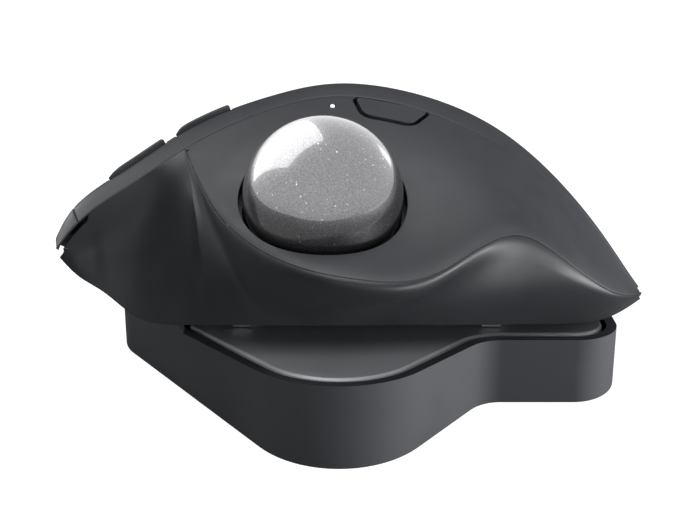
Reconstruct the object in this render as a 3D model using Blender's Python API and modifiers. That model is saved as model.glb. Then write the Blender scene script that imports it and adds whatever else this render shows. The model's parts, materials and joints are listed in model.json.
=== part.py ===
"""Thumb-operated trackball mouse on a magnetic tilt plate and a wedge, as separate solid pieces.

World frame: metres, +Z up, origin on the desk at the middle of the wedge's footprint.
-X is the front of the mouse (its click buttons), +X the heel, -Y the thumb side, +Y the little-finger side.
The housing is drawn upright in its own frame (millimetres, z = 0 on the flat under the thumb side) and then
hung on the tilt hinge; the plate and the wedge are drawn flat and leaned over by the wedge angle.
"""

import math

import bmesh
import bpy
import numpy as np
from mathutils import Matrix, Vector

MM = 0.001

# ---- driving dimensions, millimetres and degrees ----
WEDGE_ANGLE = 10.0        # slope of the wedge's top
HINGE_ANGLE = 20.0        # travel of the tilt hinge; the housing is drawn fully leaned over
AXIS_Y = -7.6             # tilt hinge on the desk frame
AXIS_HEIGHT = 3.0         # hinge axis above the housing's underside
PLATE_GAP = 0.4           # plate top to the housing's underside
PLATE_THICK = 1.9
SOLE_THICK = 0.8          # rubber sheet under the plate, and under the wedge
WEDGE_REACH = 43.0        # wedge edge to the middle of its footprint, both sides
WEDGE_HIGH = 21.2         # plate top at the thumb edge
RIM_DROP = 0.3            # rim of the wedge below the plate's top
RIM_WALL = 2.3
RIM_RAISE = 2.2           # how much higher the rim is round the front
RAISED_END = -42.0        # where the raised front rim ends
RECESS_FLOOR = 1.2        # rubber left under the plate's recess
HOLLOW_INSET = 4.0        # wall round the wedge's hollow underside
PAD_THICK = 1.2           # foot pad that closes the hollow
PLATE_FRONT = -40.0
PLATE_INSET = 3.4
WALL = 1.8                # housing wall
EDGE_WALL = 0.35          # the wall thins to this at the sharp edges, where two shells meet at a mitre
BUTTON_THICK = 1.6
SEAM = 0.2                # half of the gap between two shells
BAND_SEAM = 0.35          # the same for the lower shell under the band, where the two walls meet sharply
CLEAR = 0.3               # gap left between pieces that rest on each other
PAD_SEAM = 0.35           # half of the gap beside a side button
CLICK_GAP = 1.2           # free height under the front of the click buttons
LEFT_PIVOT = (-30.4, 3.8, 45.5)    # a point on each click button's hinge axis, at its rear edge
RIGHT_PIVOT = (-30.8, 28.0, 38.0)
SIDE_BUTTON_PROUD = 1.2
SIDE_BUTTON_SUNK = 1.2
THIN_SHARE = 0.2          # most of a thin section's depth that one wall takes
EDGE_SLOPE = 0.3          # how fast a wall thickens away from a sharp edge
HEEL_EDGE_SLOPE = 0.14    # the same at the heel
HEEL_SHARE = 0.1          # most of the local depth that one wall takes at the heel
MIDDLE_Y = 6.0            # where a section's depth is measured
BUTTON_EDGE = 0.4         # click buttons' thickness at their edges, and how fast they thicken from there
BUTTON_SLOPE = 0.2
LOWER_EDGE = 0.35         # the same for the lower shell's wall under the right click button
LOWER_SLOPE = 0.075
NOSE_LEAN = 0.6           # how far the click buttons' front faces lean back
NOSE_WALL = 0.8           # lower shell's wall at the nose
BALL_RADIUS = 17.0
BALL_CENTRE = Vector((-9.5, -30.0, 27.2))
BALL_AXIS = Vector((0.05, -0.755, 0.654)).normalized()   # the way the ball looks out of its socket
SOCKET_RADIUS = 18.2
CUP_INNER = 17.9
CUP_OUTER = 19.6
CUP_DEPTH = 5.5           # cup's rim below the ball's middle
BEARING_RADIUS = 1.25
WHEEL_RADIUS = 9.5
WHEEL_Y = 11.7
WHEEL_PROUD = 2.2         # wheel above the cover
PIN_RADIUS = 1.25
HINGE_X = 28.0            # hinge brackets at plus and minus this
BOARD_THICK = 1.2

AXIS_Z = (WEDGE_HIGH - (AXIS_Y + WEDGE_REACH) * math.tan(math.radians(WEDGE_ANGLE))
          + (AXIS_HEIGHT + PLATE_GAP) / math.cos(math.radians(WEDGE_ANGLE)))


# ---- scene, materials and basic objects ----

def clear_scene():
    for obj in list(bpy.data.objects):
        bpy.data.objects.remove(obj)


def collection(name, hidden=False):
    made = bpy.data.collections.new(name)
    bpy.context.scene.collection.children.link(made)
    made.hide_render = hidden
    return made


def material(name, colour, roughness, metallic=0.0):
    made = bpy.data.materials.new(name)
    made.use_nodes = True
    shader = made.node_tree.nodes["Principled BSDF"]
    shader.inputs["Base Color"].default_value = (*colour, 1.0)
    shader.inputs["Roughness"].default_value = roughness
    shader.inputs["Metallic"].default_value = metallic
    return made


def empty(name, matrix, origin=(0, 0, 0)):
    """A frame to draw in. origin says where the empty sits in that drawing, in millimetres."""
    made = bpy.data.objects.new(name, None)
    bpy.context.scene.collection.objects.link(made)
    made.matrix_world = matrix
    made["origin"] = origin
    return made


clear_scene()
PARTS = collection("trackball_mouse")
CUTTERS = collection("cutters", hidden=True)

GRAPHITE = material("graphite_shell", (0.085, 0.087, 0.092), 0.5)
RUBBER = material("rubber_grip", (0.06, 0.061, 0.064), 0.75)
WEDGE_RUBBER = material("wedge_rubber", (0.045, 0.046, 0.05), 0.8)
PLATE_COAT = material("plate_steel", (0.07, 0.071, 0.075), 0.45, 0.8)
DARK = material("dark_casing", (0.035, 0.036, 0.039), 0.6)
BALL_LACQUER = material("ball_lacquer", (0.28, 0.28, 0.30), 0.12, 0.3)
STEEL = material("steel", (0.6, 0.6, 0.62), 0.3, 1.0)
MAGNET = material("magnet", (0.5, 0.5, 0.5), 0.35, 1.0)
CERAMIC = material("ceramic", (0.85, 0.84, 0.8), 0.2)
BOARD = material("circuit_board", (0.03, 0.12, 0.06), 0.5)
PLASTIC = material("engineering_plastic", (0.12, 0.12, 0.13), 0.5)
LENS = material("light_pipe", (0.85, 0.87, 0.9), 0.2)
CELL = material("battery_foil", (0.55, 0.56, 0.58), 0.4, 0.6)

HOUSING_ANGLE = -(WEDGE_ANGLE + HINGE_ANGLE)


def leaned(angle):
    """World matrix of a frame leaned by angle about the tilt hinge, with its origin on the hinge axis."""
    turn = Matrix.Rotation(math.radians(angle), 4, "X")
    return Matrix.Translation((0, AXIS_Y * MM, AXIS_Z * MM)) @ turn


# The housing is drawn with z = 0 on its underside, and the plate with z = 0 on its top face.
HOUSING = empty("housing_frame", leaned(HOUSING_ANGLE), (0, 0, AXIS_HEIGHT))
PLATE = empty("plate_frame", leaned(-WEDGE_ANGLE), (0, 0, AXIS_HEIGHT + PLATE_GAP))
DESK = empty("desk_frame", Matrix.Identity(4))


def origin_of(frame):
    return Vector(frame["origin"])


def add(name, mesh, mat, frame, cutter=False, pivot=None):
    """A named object from a mesh drawn in a frame, in metres. The pivot, in millimetres, becomes its origin."""
    pivot = origin_of(frame) if pivot is None else Vector(pivot)
    mesh.transform(Matrix.Translation(-pivot * MM))
    obj = bpy.data.objects.new(name, mesh)
    (CUTTERS if cutter else PARTS).objects.link(obj)
    obj.parent = frame
    obj.location = (pivot - origin_of(frame)) * MM
    obj.hide_render = cutter
    if cutter:
        obj.display_type = "WIRE"
    else:
        mesh.materials.append(mat)
    return obj


def from_bmesh(name, bm, mat, frame, cutter=False, smooth=None, pivot=None):
    """An object from a bmesh drawn in millimetres."""
    bmesh.ops.recalc_face_normals(bm, faces=bm.faces)
    if bm.calc_volume(signed=True) < 0:
        bmesh.ops.reverse_faces(bm, faces=bm.faces)
    bmesh.ops.scale(bm, vec=(MM, MM, MM), verts=bm.verts)
    mesh = bpy.data.meshes.new(name)
    bm.to_mesh(mesh)
    bm.free()
    if smooth:
        mesh.shade_smooth()
        mesh.set_sharp_from_angle(angle=math.radians(smooth))
    return add(name, mesh, mat, frame, cutter, pivot)


def frame_towards(direction, centre, roll_x=Vector((1, 0, 0))):
    """Matrix that puts local +Z along direction, with local +X as near to roll_x as it can be."""
    z = Vector(direction).normalized()
    x = (Vector(roll_x) - z * z.dot(Vector(roll_x))).normalized()
    y = z.cross(x)
    turn = Matrix((x, y, z)).transposed().to_4x4()
    return Matrix.Translation(Vector(centre)) @ turn


def box(name, centre, size, mat, frame, place=None, bevel=0.0, cutter=False, pivot=None):
    """A box of size (x, y, z) about centre; place is a further matrix in millimetres."""
    bm = bmesh.new()
    bmesh.ops.create_cube(bm, size=1.0)
    bmesh.ops.scale(bm, vec=size, verts=bm.verts)
    if bevel:
        bmesh.ops.bevel(bm, geom=bm.edges[:], offset=bevel, segments=1, affect="EDGES")
    bmesh.ops.translate(bm, vec=centre, verts=bm.verts)
    if place:
        bmesh.ops.transform(bm, matrix=place, verts=bm.verts)
    return from_bmesh(name, bm, mat, frame, cutter, pivot=pivot)


def rod(name, start, end, radius, mat, frame, sides=16, cutter=False):
    """A cylinder from start to end, with its origin at its middle."""
    start, end = Vector(start), Vector(end)
    bm = bmesh.new()
    bmesh.ops.create_cone(bm, cap_ends=True, segments=sides, radius1=radius, radius2=radius,
                          depth=(end - start).length)
    turn = (end - start).to_track_quat("Z", "Y").to_matrix().to_4x4()
    middle = (start + end) / 2
    bmesh.ops.transform(bm, matrix=Matrix.Translation(middle) @ turn, verts=bm.verts)
    return from_bmesh(name, bm, mat, frame, cutter, smooth=40, pivot=middle)


def ball_solid(name, centre, radius, mat, frame, across=28, down=16):
    """A ball with its origin at its centre."""
    bm = bmesh.new()
    bmesh.ops.create_uvsphere(bm, u_segments=across, v_segments=down, radius=radius)
    bmesh.ops.translate(bm, vec=centre, verts=bm.verts)
    return from_bmesh(name, bm, mat, frame, smooth=60, pivot=centre)


def boolean(obj, cutter, operation="DIFFERENCE"):
    made = obj.modifiers.new(operation.lower(), "BOOLEAN")
    made.object = cutter
    made.operation = operation
    made.solver = "EXACT"
    return obj


def bake(obj):
    """Replaces the object's modifiers by their result."""
    bpy.context.view_layer.update()
    mesh = bpy.data.meshes.new_from_object(obj.evaluated_get(bpy.context.evaluated_depsgraph_get()))
    obj.modifiers.clear()
    obj.data = mesh
    return obj


def turned(name, profile, mat, frame, place, steps=32):
    """A solid of revolution about the origin's Z, by a Screw modifier.

    The profile is a closed ring of (radius, height) points at +X, from top to bottom on its outer side.
    """
    mesh = bpy.data.meshes.new(name)
    points = [(radius * MM, 0, height * MM) for radius, height in profile]
    mesh.from_pydata(points, [(i, (i + 1) % len(points)) for i in range(len(points))], [])
    obj = add(name, mesh, mat, frame, pivot=(0, 0, 0))
    move = place.copy()
    move.translation = (place.translation - origin_of(frame)) * MM
    obj.matrix_basis = move
    screw = obj.modifiers.new("turn", "SCREW")
    screw.steps = steps
    screw.render_steps = steps
    screw.use_merge_vertices = True
    screw.merge_threshold = 0.00001
    screw.use_smooth_shade = False
    return obj


def rounded_outline(corners, per_arc=5):
    """Plan outline from (x, y, radius) corners, each rounded by an arc tangent to its two sides."""
    points = []
    for i, (x, y, radius) in enumerate(corners):
        here = Vector((x, y))
        before = Vector(corners[i - 1][:2]) - here
        after = Vector(corners[(i + 1) % len(corners)][:2]) - here
        half = before.angle(after) / 2
        middle = here + (before.normalized() + after.normalized()).normalized() * radius / math.sin(half)
        first = here + before.normalized() * radius / math.tan(half) - middle
        last = here + after.normalized() * radius / math.tan(half) - middle
        sweep = first.angle_signed(last)
        for step in range(per_arc + 1):
            arm = first.copy()
            arm.rotate(Matrix.Rotation(-sweep * step / per_arc, 2))
            points.append(middle + arm)
    return points


def inset(corners, amount):
    """The same corners for an outline moved inwards by amount, anticlockwise corners."""
    moved = []
    for i, (x, y, radius) in enumerate(corners):
        here = Vector((x, y))
        before = (here - Vector(corners[i - 1][:2])).normalized()
        after = (Vector(corners[(i + 1) % len(corners)][:2]) - here).normalized()
        inward = [Vector((-side.y, side.x)) for side in (before, after)]
        share = amount / (1 + inward[0].dot(inward[1]))
        place = here + (inward[0] + inward[1]) * share
        convex = before.cross(after) > 0
        moved.append((place.x, place.y, max(radius - amount if convex else radius + amount, 0.3)))
    return moved


def slab(name, outline, low, high, mat, frame, cutter=False, place=None):
    """A flat outline between two heights: a filled 2D curve with an extrude, made a mesh."""
    curve = bpy.data.curves.new(name + "_outline", "CURVE")
    curve.dimensions = "2D"
    curve.fill_mode = "BOTH"
    curve.extrude = (high - low) / 2
    line = curve.splines.new("POLY")
    line.points.add(len(outline) - 1)
    for point, spot in zip(line.points, outline):
        point.co = (spot.x, spot.y, 0, 1)
    line.use_cyclic_u = True
    drawn = bpy.data.objects.new(name + "_outline", curve)
    bpy.context.scene.collection.objects.link(drawn)
    bpy.context.view_layer.update()
    mesh = bpy.data.meshes.new_from_object(drawn.evaluated_get(bpy.context.evaluated_depsgraph_get()))
    bpy.data.objects.remove(drawn)
    bm = bmesh.new()
    bm.from_mesh(mesh)
    bpy.data.meshes.remove(mesh)
    bmesh.ops.remove_doubles(bm, verts=bm.verts, dist=0.001)
    bmesh.ops.translate(bm, vec=(0, 0, (low + high) / 2), verts=bm.verts)
    if place:
        bmesh.ops.transform(bm, matrix=place, verts=bm.verts)
    return from_bmesh(name, bm, mat, frame, cutter)


# ---- the form of the housing: rails along the body, drawn in the housing's frame ----
# A rail runs from the nose (station 0) to the heel (station 10), and is given at the stations where it turns.
# Going round a section from the thumb lip: down the wall, under the body, up the far side, over the top to the
# band along the click buttons, and down the thumb scoop back to the lip.

RAILS = {
    "lip": {2: (-39.5, -19.5, 38), 2.6: (-32, -32, 24), 3: (-26.5, -38, 18.5), 4: (-14, -47.5, 11.5),
            5: (-2, -50.5, 9), 6: (13, -46, 10), 7: (28, -36, 18.5), 7.4: (33.5, -33.5, 19),
            8: (42.5, -30, 13), 9: (53.5, -21, 6.5), 10: (61, -8, 7)},
    "wall_high": {0: (-66.5, -22, 15.5), 1: (-50.5, -20.5, 20), 1.85: (-38.5, -25, 27),
                  2.2: (-34.5, -29, 23), 3: (-26.5, -37, 13), 4: (-14, -45, 8), 5: (-2.5, -47.5, 6),
                  6: (11.5, -44, 7), 7: (26, -35, 13), 8: (41.5, -29.5, 9.5), 9: (53, -20, 5.2),
                  10: (61, -7.5, 6.5)},
    "wall_low": {0: (-66.5, -21, 15), 0.5: (-58, -20.8, 11.2), 1: (-49.5, -21, 8.2),
                 1.85: (-36.5, -29, 12.5), 2.2: (-31.5, -33.5, 11), 3: (-25, -36, 6.5), 5: (-3, -41.5, 3),
                 7: (22, -33.5, 5.5), 9: (52, -17, 3), 10: (61, -5, 6)},
    "foot": {0: (-66.5, -20, 14.5), 0.2: (-63, -20.3, 10.9), 0.5: (-57.5, -20.8, 7.4),
             1: (-49.5, -21.5, 1.5), 1.5: (-41, -26, 0), 2: (-34, -29.5, 0), 3: (-22, -33.5, 0),
             5: (-3, -34, 0), 7: (23, -27, 0), 8: (36, -20.5, 0), 8.6: (43.5, -16, 0), 9.2: (52, -11, 1),
             10: (61.5, -3, 5.5)},
    "keel": {0: (-63, 1, 11), 0.5: (-56.5, 0.5, 8), 1: (-49.5, 0.5, 5), 1.5: (-42.5, 0.5, 2.2),
             1.8: (-38.5, 0.5, 0.5), 2: (-36, 0.5, 0), 2.4: (-31, 0.5, 0), 5: (-1.5, 0.5, 0),
             8: (37, 0.5, 0), 8.6: (45, 0.5, 0), 9.2: (52.5, 0.5, 1), 10: (61.5, 3.5, 6)},
    "far_foot": {0: (-59, 25, 12.5), 2: (-38, 36, 13.2), 5: (-3, 42, 15.1), 8: (35, 33.5, 12),
                 10: (58.5, 16, 9)},
    "far_wall": {0: (-57.5, 29.5, 13.5), 2: (-38, 40.5, 18), 5: (-3, 47, 21.5), 8: (35.5, 38, 17),
                 10: (57.5, 19.5, 10)},
    "far_seam": {0: (-56, 31.5, 14.5), 2: (-38, 40.5, 22.5), 5: (-3, 47, 28.5), 8: (35.5, 38.5, 22.5),
                 10: (57.5, 20.5, 11)},
    "shoulder": {0: (-61, 26, 15), 2: (-39, 31.5, 31), 5: (-3, 37, 42), 8: (37.5, 31, 29.5),
                 10: (60, 16, 9.5)},
    "wheel_far": {0: (-66, 17, 15.5), 2: (-41, 19.5, 38), 5: (-3, 22.5, 49.5), 8: (38.5, 19.5, 34),
                  10: (61.5, 11, 8.5)},
    "wheel_near": {0: (-67.5, 6, 17), 0.3: (-64.7, 6, 21.7), 1: (-54, 6.5, 31), 2: (-41, 8, 41),
                   3.5: (-21, 11, 49.5), 5: (-3, 12.5, 52.5), 6.5: (18, 12.7, 48), 8: (38.5, 11.5, 36),
                   10: (62.5, 7.5, 8.2)},
    "click_edge": {0: (-67.5, -14, 18.5), 0.3: (-64.5, -13, 23.5), 1: (-54, -11, 32.5),
                   2: (-40.5, -6, 42.2), 3.5: (-20.5, 1.5, 51), 5: (-3, 5, 53.8), 6.5: (18, 5.2, 49.3),
                   8: (38.3, 4.5, 36.8), 9: (51.2, 5, 23), 10: (62.5, 6, 8.2)},
    "ridge": {0: (-67.5, -20, 18), 0.3: (-64.7, -19.7, 23.5), 1: (-54, -18, 32.5), 2: (-40, -13.5, 42.2),
              3.5: (-20.5, -5.5, 51), 5: (-3, -2, 53.9), 6.5: (18, -1.7, 49.5), 8: (38, -2.5, 37.2),
              9: (51, -0.5, 23.3), 10: (62, 4, 8)},
    "band_low": {0: (-67, -22.5, 16), 0.5: (-60.5, -23.6, 23.2), 1: (-52.5, -23, 29), 2: (-39.5, -19.5, 38),
                 4: (-14, -8.6, 49.6), 5: (-2.5, -7, 50.5), 7: (25, -9, 42), 9: (51, -5, 21.5),
                 10: (61.5, 2, 7.4)},
    "scoop_high": {2: (-39, -20, 37.7), 2.6: (-31.6, -21.6, 36.6), 4: (-14, -20, 40), 5: (-2, -20, 39),
                   7: (26, -19, 33.5), 8: (39.5, -17, 26.5), 10: (61.5, -2, 7.2)},
    "scoop_low": {2: (-39, -20.3, 37.3), 2.6: (-31.7, -27.4, 29.4), 4: (-14, -35.5, 21.5),
                  5: (-2, -36.5, 19.5), 6: (12.5, -34.5, 19.5), 7: (27, -28, 25), 8: (41, -24.5, 19.5),
                  10: (61, -5, 7)},
}
HEEL = 10.0               # last station
APEX = 2.0                # station where the thumb scoop starts, at the top of the front ridge
HEEL_TAPER = 8.5          # station behind which the walls thin with the body
NOSE_SEAM = 0.4           # station where the band ends and the click button's tip wraps round the corner
CLICK_END = 2.75          # station of the click buttons' rear edge
FRONT_SIDE = (0.87, 1.7)  # stations of the forward button and of the back button
REAR_SIDE = (1.85, CLICK_END)


def spline(knots, values, at):
    """Natural cubic spline through values (n, 3) at knots (n,), evaluated at the numbers in at."""
    knots, values, at = np.asarray(knots, float), np.asarray(values, float), np.atleast_1d(at).astype(float)
    n = len(knots)
    if n == 2:
        share = ((at - knots[0]) / (knots[1] - knots[0]))[:, None]
        return values[0] * (1 - share) + values[1] * share
    gap = np.diff(knots)
    system = np.eye(n)
    right = np.zeros_like(values)
    for i in range(1, n - 1):
        system[i, i - 1:i + 2] = gap[i - 1], 2 * (gap[i - 1] + gap[i]), gap[i]
        right[i] = 6 * ((values[i + 1] - values[i]) / gap[i] - (values[i] - values[i - 1]) / gap[i - 1])
    bend = np.linalg.solve(system, right)
    k = np.clip(np.searchsorted(knots, at, side="right") - 1, 0, n - 2)
    h = gap[k][:, None]
    a, b = (knots[k + 1] - at)[:, None] / h, (at - knots[k])[:, None] / h
    return (a * values[k] + b * values[k + 1]
            + ((a ** 3 - a) * bend[k] + (b ** 3 - b) * bend[k + 1]) * h ** 2 / 6)


def rail_at(name, station):
    """The rail's point at a station. In front of the apex the scoop's rails run together at the band's edge."""
    if station < APEX and name in ("lip", "scoop_high", "scoop_low"):
        name = "band_low"
    rail = RAILS[name]
    return spline(list(rail), list(rail.values()), station)[0]


# Runs of rails that a section crosses smoothly, and how many steps each gap between two rails is given.
WALL_RUN = (("lip", "wall_high", "wall_low", "foot"), (2, 2, 3))
UNDER_RUN = (("foot", "keel"), (2,))
FAR_UNDER_RUN = (("keel", "far_foot"), (2,))
OVER_RUN = (("far_foot", "far_wall", "far_seam", "shoulder", "wheel_far", "wheel_near", "click_edge",
             "ridge", "band_low"), (2, 2, 3, 3, 2, 3, 2, 2))
SCOOP_RUN = (("band_low", "scoop_high", "scoop_low", "lip"), (3, 4, 3))
RUNS = (WALL_RUN, UNDER_RUN, FAR_UNDER_RUN, OVER_RUN, SCOOP_RUN)

STATIONS = [0, 0.18, 0.4, 0.62, 0.87, 1.15, 1.42, 1.7, 1.85, 2, 2.2, 2.45, 2.75, 3.1, 3.5, 4, 4.5, 5, 5.5, 6,
            6.4, 6.8, 7.1, 7.4, 7.8, 8.3, 8.8, 9.2, 9.6, 9.85, 10]


def section(station):
    """Points round one section, starting at the lip, and the index at which each rail sits."""
    points, where = [], {}
    for names, steps in RUNS:
        ends = np.array([rail_at(name, station) for name in names])
        lengths = np.maximum(np.linalg.norm(np.diff(ends, axis=0), axis=1), 1e-6) ** 0.7
        knots = np.concatenate([[0], np.cumsum(lengths)])
        at = []
        for i, count in enumerate(steps):
            where.setdefault(names[i], len(points) + len(at))
            at += [knots[i] + (knots[i + 1] - knots[i]) * j / count for j in range(count)]
        points += list(spline(knots, ends, at))
    where["lip_again"] = len(points)
    return np.array(points), where


SECTIONS = [section(s) for s in STATIONS]
WHERE = SECTIONS[0][1]
OUTER = np.array([points for points, _ in SECTIONS])
ROUND = OUTER.shape[1]


def surface_normals():
    """Outward unit normals of the whole skin, averaged where it turns a corner."""
    total = np.zeros_like(OUTER)
    for i in range(len(STATIONS) - 1):
        for k in range(ROUND):
            n = (k + 1) % ROUND
            quad = OUTER[i, k], OUTER[i, n], OUTER[i + 1, n], OUTER[i + 1, k]
            normal = np.cross(quad[2] - quad[0], quad[3] - quad[1])
            length = np.linalg.norm(normal)
            if length < 1e-4:
                continue
            for r, c in ((i, k), (i, n), (i + 1, n), (i + 1, k)):
                total[r, c] += normal / math.sqrt(length)
    length = np.linalg.norm(total, axis=2, keepdims=True)
    return total / np.maximum(length, 1e-9)


NORMALS = surface_normals()
NORMALS *= np.sign(NORMALS[len(STATIONS) // 2, WHERE["wheel_near"], 2])    # the top of the body looks up


def row_of(station):
    return int(np.argmin(np.abs(np.array(STATIONS) - station)))


LIP = WHERE["lip"]
FAR_FOOT = WHERE["far_foot"]
FAR_SEAM = WHERE["far_seam"]
SHOULDER = WHERE["shoulder"]
WHEEL_FAR = WHERE["wheel_far"]
WHEEL_NEAR = WHERE["wheel_near"]
CLICK_EDGE = WHERE["click_edge"]
RIDGE = WHERE["ridge"]
BAND_LOW = WHERE["band_low"]
LAST = len(STATIONS) - 1
CLICK_REAR = row_of(CLICK_END)
NOSE_ROW = row_of(NOSE_SEAM)


def skin(p):
    return OUTER[p]


def even_seam(_):
    return SEAM


def no_seam(_):
    return 0.0


def pad_seam(_):
    return PAD_SEAM


def corners_of(cell):
    """The grid points round a skin cell."""
    row, column = cell
    after = (column + 1) % ROUND
    return [(row, column), (row, after), (row + 1, after), (row + 1, column)]


def edges_of(cells):
    """The cell that each directed edge belongs to."""
    owner = {}
    for cell in cells:
        loop = corners_of(cell)
        for edge in zip(loop, loop[1:] + loop[:1]):
            owner[edge] = cell
    return owner


def pull_from(edge, cell):
    """Unit direction from a rim edge into its cell, or None where the edge has no length."""
    a, b = edge
    along = OUTER[b] - OUTER[a]
    length = np.linalg.norm(along)
    if length < 1e-4:
        return None
    along = along / length
    inward = np.mean([OUTER[p] for p in corners_of(cell)], axis=0) - OUTER[a]
    inward = inward - along * inward.dot(along)
    return inward / max(np.linalg.norm(inward), 1e-6)


def rim_shifts(rim, owner, seam_at):
    """How far each rim point is drawn back so that the rim lies seam_at(point) inside the patch's edge."""
    pulls = {}
    for edge in rim:
        inward = pull_from(edge, owner[edge])
        if inward is not None:
            for p in edge:
                pulls.setdefault(p, []).append(inward)
    shifts = {}
    for p, found in pulls.items():
        total = np.sum(found, axis=0)
        total = total / max(np.linalg.norm(total), 1e-6)
        shifts[p] = total * seam_at(p) / max(np.mean([total.dot(pull) for pull in found]), 0.5)
    return shifts


def shell(name, cells, mat, inner_point, outer_point=skin, seam_at=even_seam, pivot=None):
    """A solid wall over a set of skin cells (row, column). Its rim is drawn back to leave the panel gap.

    The skin is a loft between unlike sections, and the wall thins towards the sharp edges so that two walls can
    meet there at a mitre, which Solidify doesn't do. So its faces are built here from the grid of the loft.
    """
    owner = edges_of(cells)
    rim = [(a, b) for a, b in owner if (b, a) not in owner]
    shifts = rim_shifts(rim, owner, seam_at)
    bm = bmesh.new()
    outer, inner = {}, {}
    for p in {p for edge in owner for p in edge}:
        shift = shifts.get(p, np.zeros(3))
        outer[p] = bm.verts.new(outer_point(p) + shift)
        inner[p] = bm.verts.new(inner_point(p) + shift)
    for cell in cells:
        loop = corners_of(cell)
        bm.faces.new([outer[p] for p in loop])
        bm.faces.new([inner[p] for p in reversed(loop)])
    for a, b in rim:
        bm.faces.new((outer[b], outer[a], inner[a], inner[b]))
    bmesh.ops.triangulate(bm, faces=bm.faces)
    return from_bmesh(name, bm, mat, HOUSING, smooth=35, pivot=pivot)


def depth_at(row, y):
    """Height between the highest and lowest skin of a section at a y."""
    near = OUTER[row]
    far = np.roll(near, -1, axis=0)
    crossing = (near[:, 1] - y) * (far[:, 1] - y) < 0
    if not crossing.any():
        return 0.0
    a, b = near[crossing], far[crossing]
    heights = a[:, 2] + (b[:, 2] - a[:, 2]) * (y - a[:, 1]) / (b[:, 1] - a[:, 1])
    return heights.max() - heights.min()


DEPTHS = [depth_at(row, MIDDLE_Y) for row in range(len(STATIONS))]


def edge_distance(p):
    """Distance from a skin point to the section's sharp edge: the lip, or the band's edge before the apex."""
    from_lip = np.linalg.norm(OUTER[p] - OUTER[p[0], LIP])
    if STATIONS[p[0]] > APEX:
        return from_lip
    return min(from_lip, np.linalg.norm(OUTER[p] - OUTER[p[0], BAND_LOW]))


def offset_point(p, depth):
    """The skin point moved inwards by depth, or by less at the thin nose and heel and beside a sharp edge."""
    heel = STATIONS[p[0]] > HEEL_TAPER
    slope = HEEL_EDGE_SLOPE if heel else EDGE_SLOPE
    depth = min(depth, THIN_SHARE * DEPTHS[p[0]], EDGE_WALL + slope * edge_distance(p))
    if heel:
        depth = min(depth, max(EDGE_WALL, HEEL_SHARE * depth_at(p[0], OUTER[p][1])))
    return OUTER[p] - NORMALS[p] * depth


def inner_upper(p):
    if p[0] == LAST:
        return OUTER[p] + (-WALL, 0, 0)
    return offset_point(p, WALL)


def button_wall(p, column):
    """Thickness of a click button at a distance from the rail where it meets the next wall at a mitre."""
    away = np.linalg.norm(OUTER[p] - OUTER[p[0], column])
    return min(BUTTON_THICK, BUTTON_EDGE + BUTTON_SLOPE * away)


def inner_click(p):
    thick = button_wall(p, FAR_SEAM)
    if p[0] == 0:
        return OUTER[p] + (NOSE_LEAN, 0, -min(thick, button_wall(p, BAND_LOW)))
    return offset_point(p, thick)


def front_edge(y):
    """(x, z) of the click buttons' front edge at a y."""
    row = OUTER[0, FAR_SEAM:BAND_LOW + 1]
    row = row[np.argsort(row[:, 1])]
    return np.interp(y, row[:, 1], row[:, 0]), np.interp(y, row[:, 1], row[:, 2])


def inner_lower(p):
    if p[0] == LAST:
        return OUTER[p] + (-WALL, 0, 0)
    if p[0] == 0:
        x, y, z = OUTER[p]
        front, top = front_edge(y)
        return np.array([max(front + CLICK_GAP, x + NOSE_WALL), y, max(top - BUTTON_THICK - CLICK_GAP, z)])
    thick = WALL
    if p[0] <= CLICK_REAR:
        # The wall thins towards its edge under the right button, to leave room for the button's travel.
        thick = min(WALL, LOWER_EDGE + LOWER_SLOPE * np.linalg.norm(OUTER[p] - OUTER[p[0], FAR_SEAM]))
    return offset_point(p, thick)


def lower_seam(p):
    """The lower shell keeps clear of the click buttons, which swing down over its edge."""
    if p[1] == FAR_SEAM and p[0] <= CLICK_REAR:
        return 2 * CLICK_GAP * (1 - p[0] / CLICK_REAR) + CLEAR
    nose_rim = p[0] == 0 and p[1] > FAR_FOOT
    if nose_rim or (p[1] == LIP and p[0] <= NOSE_ROW):
        return CLICK_GAP
    if p[1] == LIP and STATIONS[p[0]] < APEX:
        return BAND_SEAM
    return SEAM


def right_seam(p):
    """The right button's outer front corner is drawn back, since it swings furthest over the lower shell."""
    return CLICK_GAP if p[0] < NOSE_ROW and p[1] == FAR_SEAM else SEAM


def raised_side(p):
    return OUTER[p] + NORMALS[p] * SIDE_BUTTON_PROUD


def inner_side(p):
    return OUTER[p] - NORMALS[p] * SIDE_BUTTON_SUNK


def cells_between(first, last, first_column, last_column):
    """Skin cells between two stations and two columns."""
    return {(r, c) for r in range(row_of(first), row_of(last)) for c in range(first_column, last_column)}


def between_columns(grid, row, column):
    """A grid's value in a row at a column that may be a fraction."""
    before = int(column)
    part = column - before
    return grid[row, before] * (1 - part) + grid[row, (before + 1) % ROUND] * part


def on_skin(station, column):
    """A point of the skin, the outward normal there and the direction towards the heel."""
    row = int(np.searchsorted(STATIONS, station, side="right") - 1)
    share = (station - STATIONS[row]) / (STATIONS[row + 1] - STATIONS[row])
    front, rear = between_columns(OUTER, row, column), between_columns(OUTER, row + 1, column)
    normal = (between_columns(NORMALS, row, column) * (1 - share)
              + between_columns(NORMALS, row + 1, column) * share)
    point = front * (1 - share) + rear * share
    return Vector(point), Vector(normal).normalized(), Vector(rear - front).normalized()


def skin_frame(station, column, depth=0.0):
    """Local frame on the skin, sunk by depth: +Z outwards, +X towards the heel."""
    point, normal, along = on_skin(station, column)
    return frame_towards(normal, point - normal * depth, along)




# ---- the housing's shells and buttons ----

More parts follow.
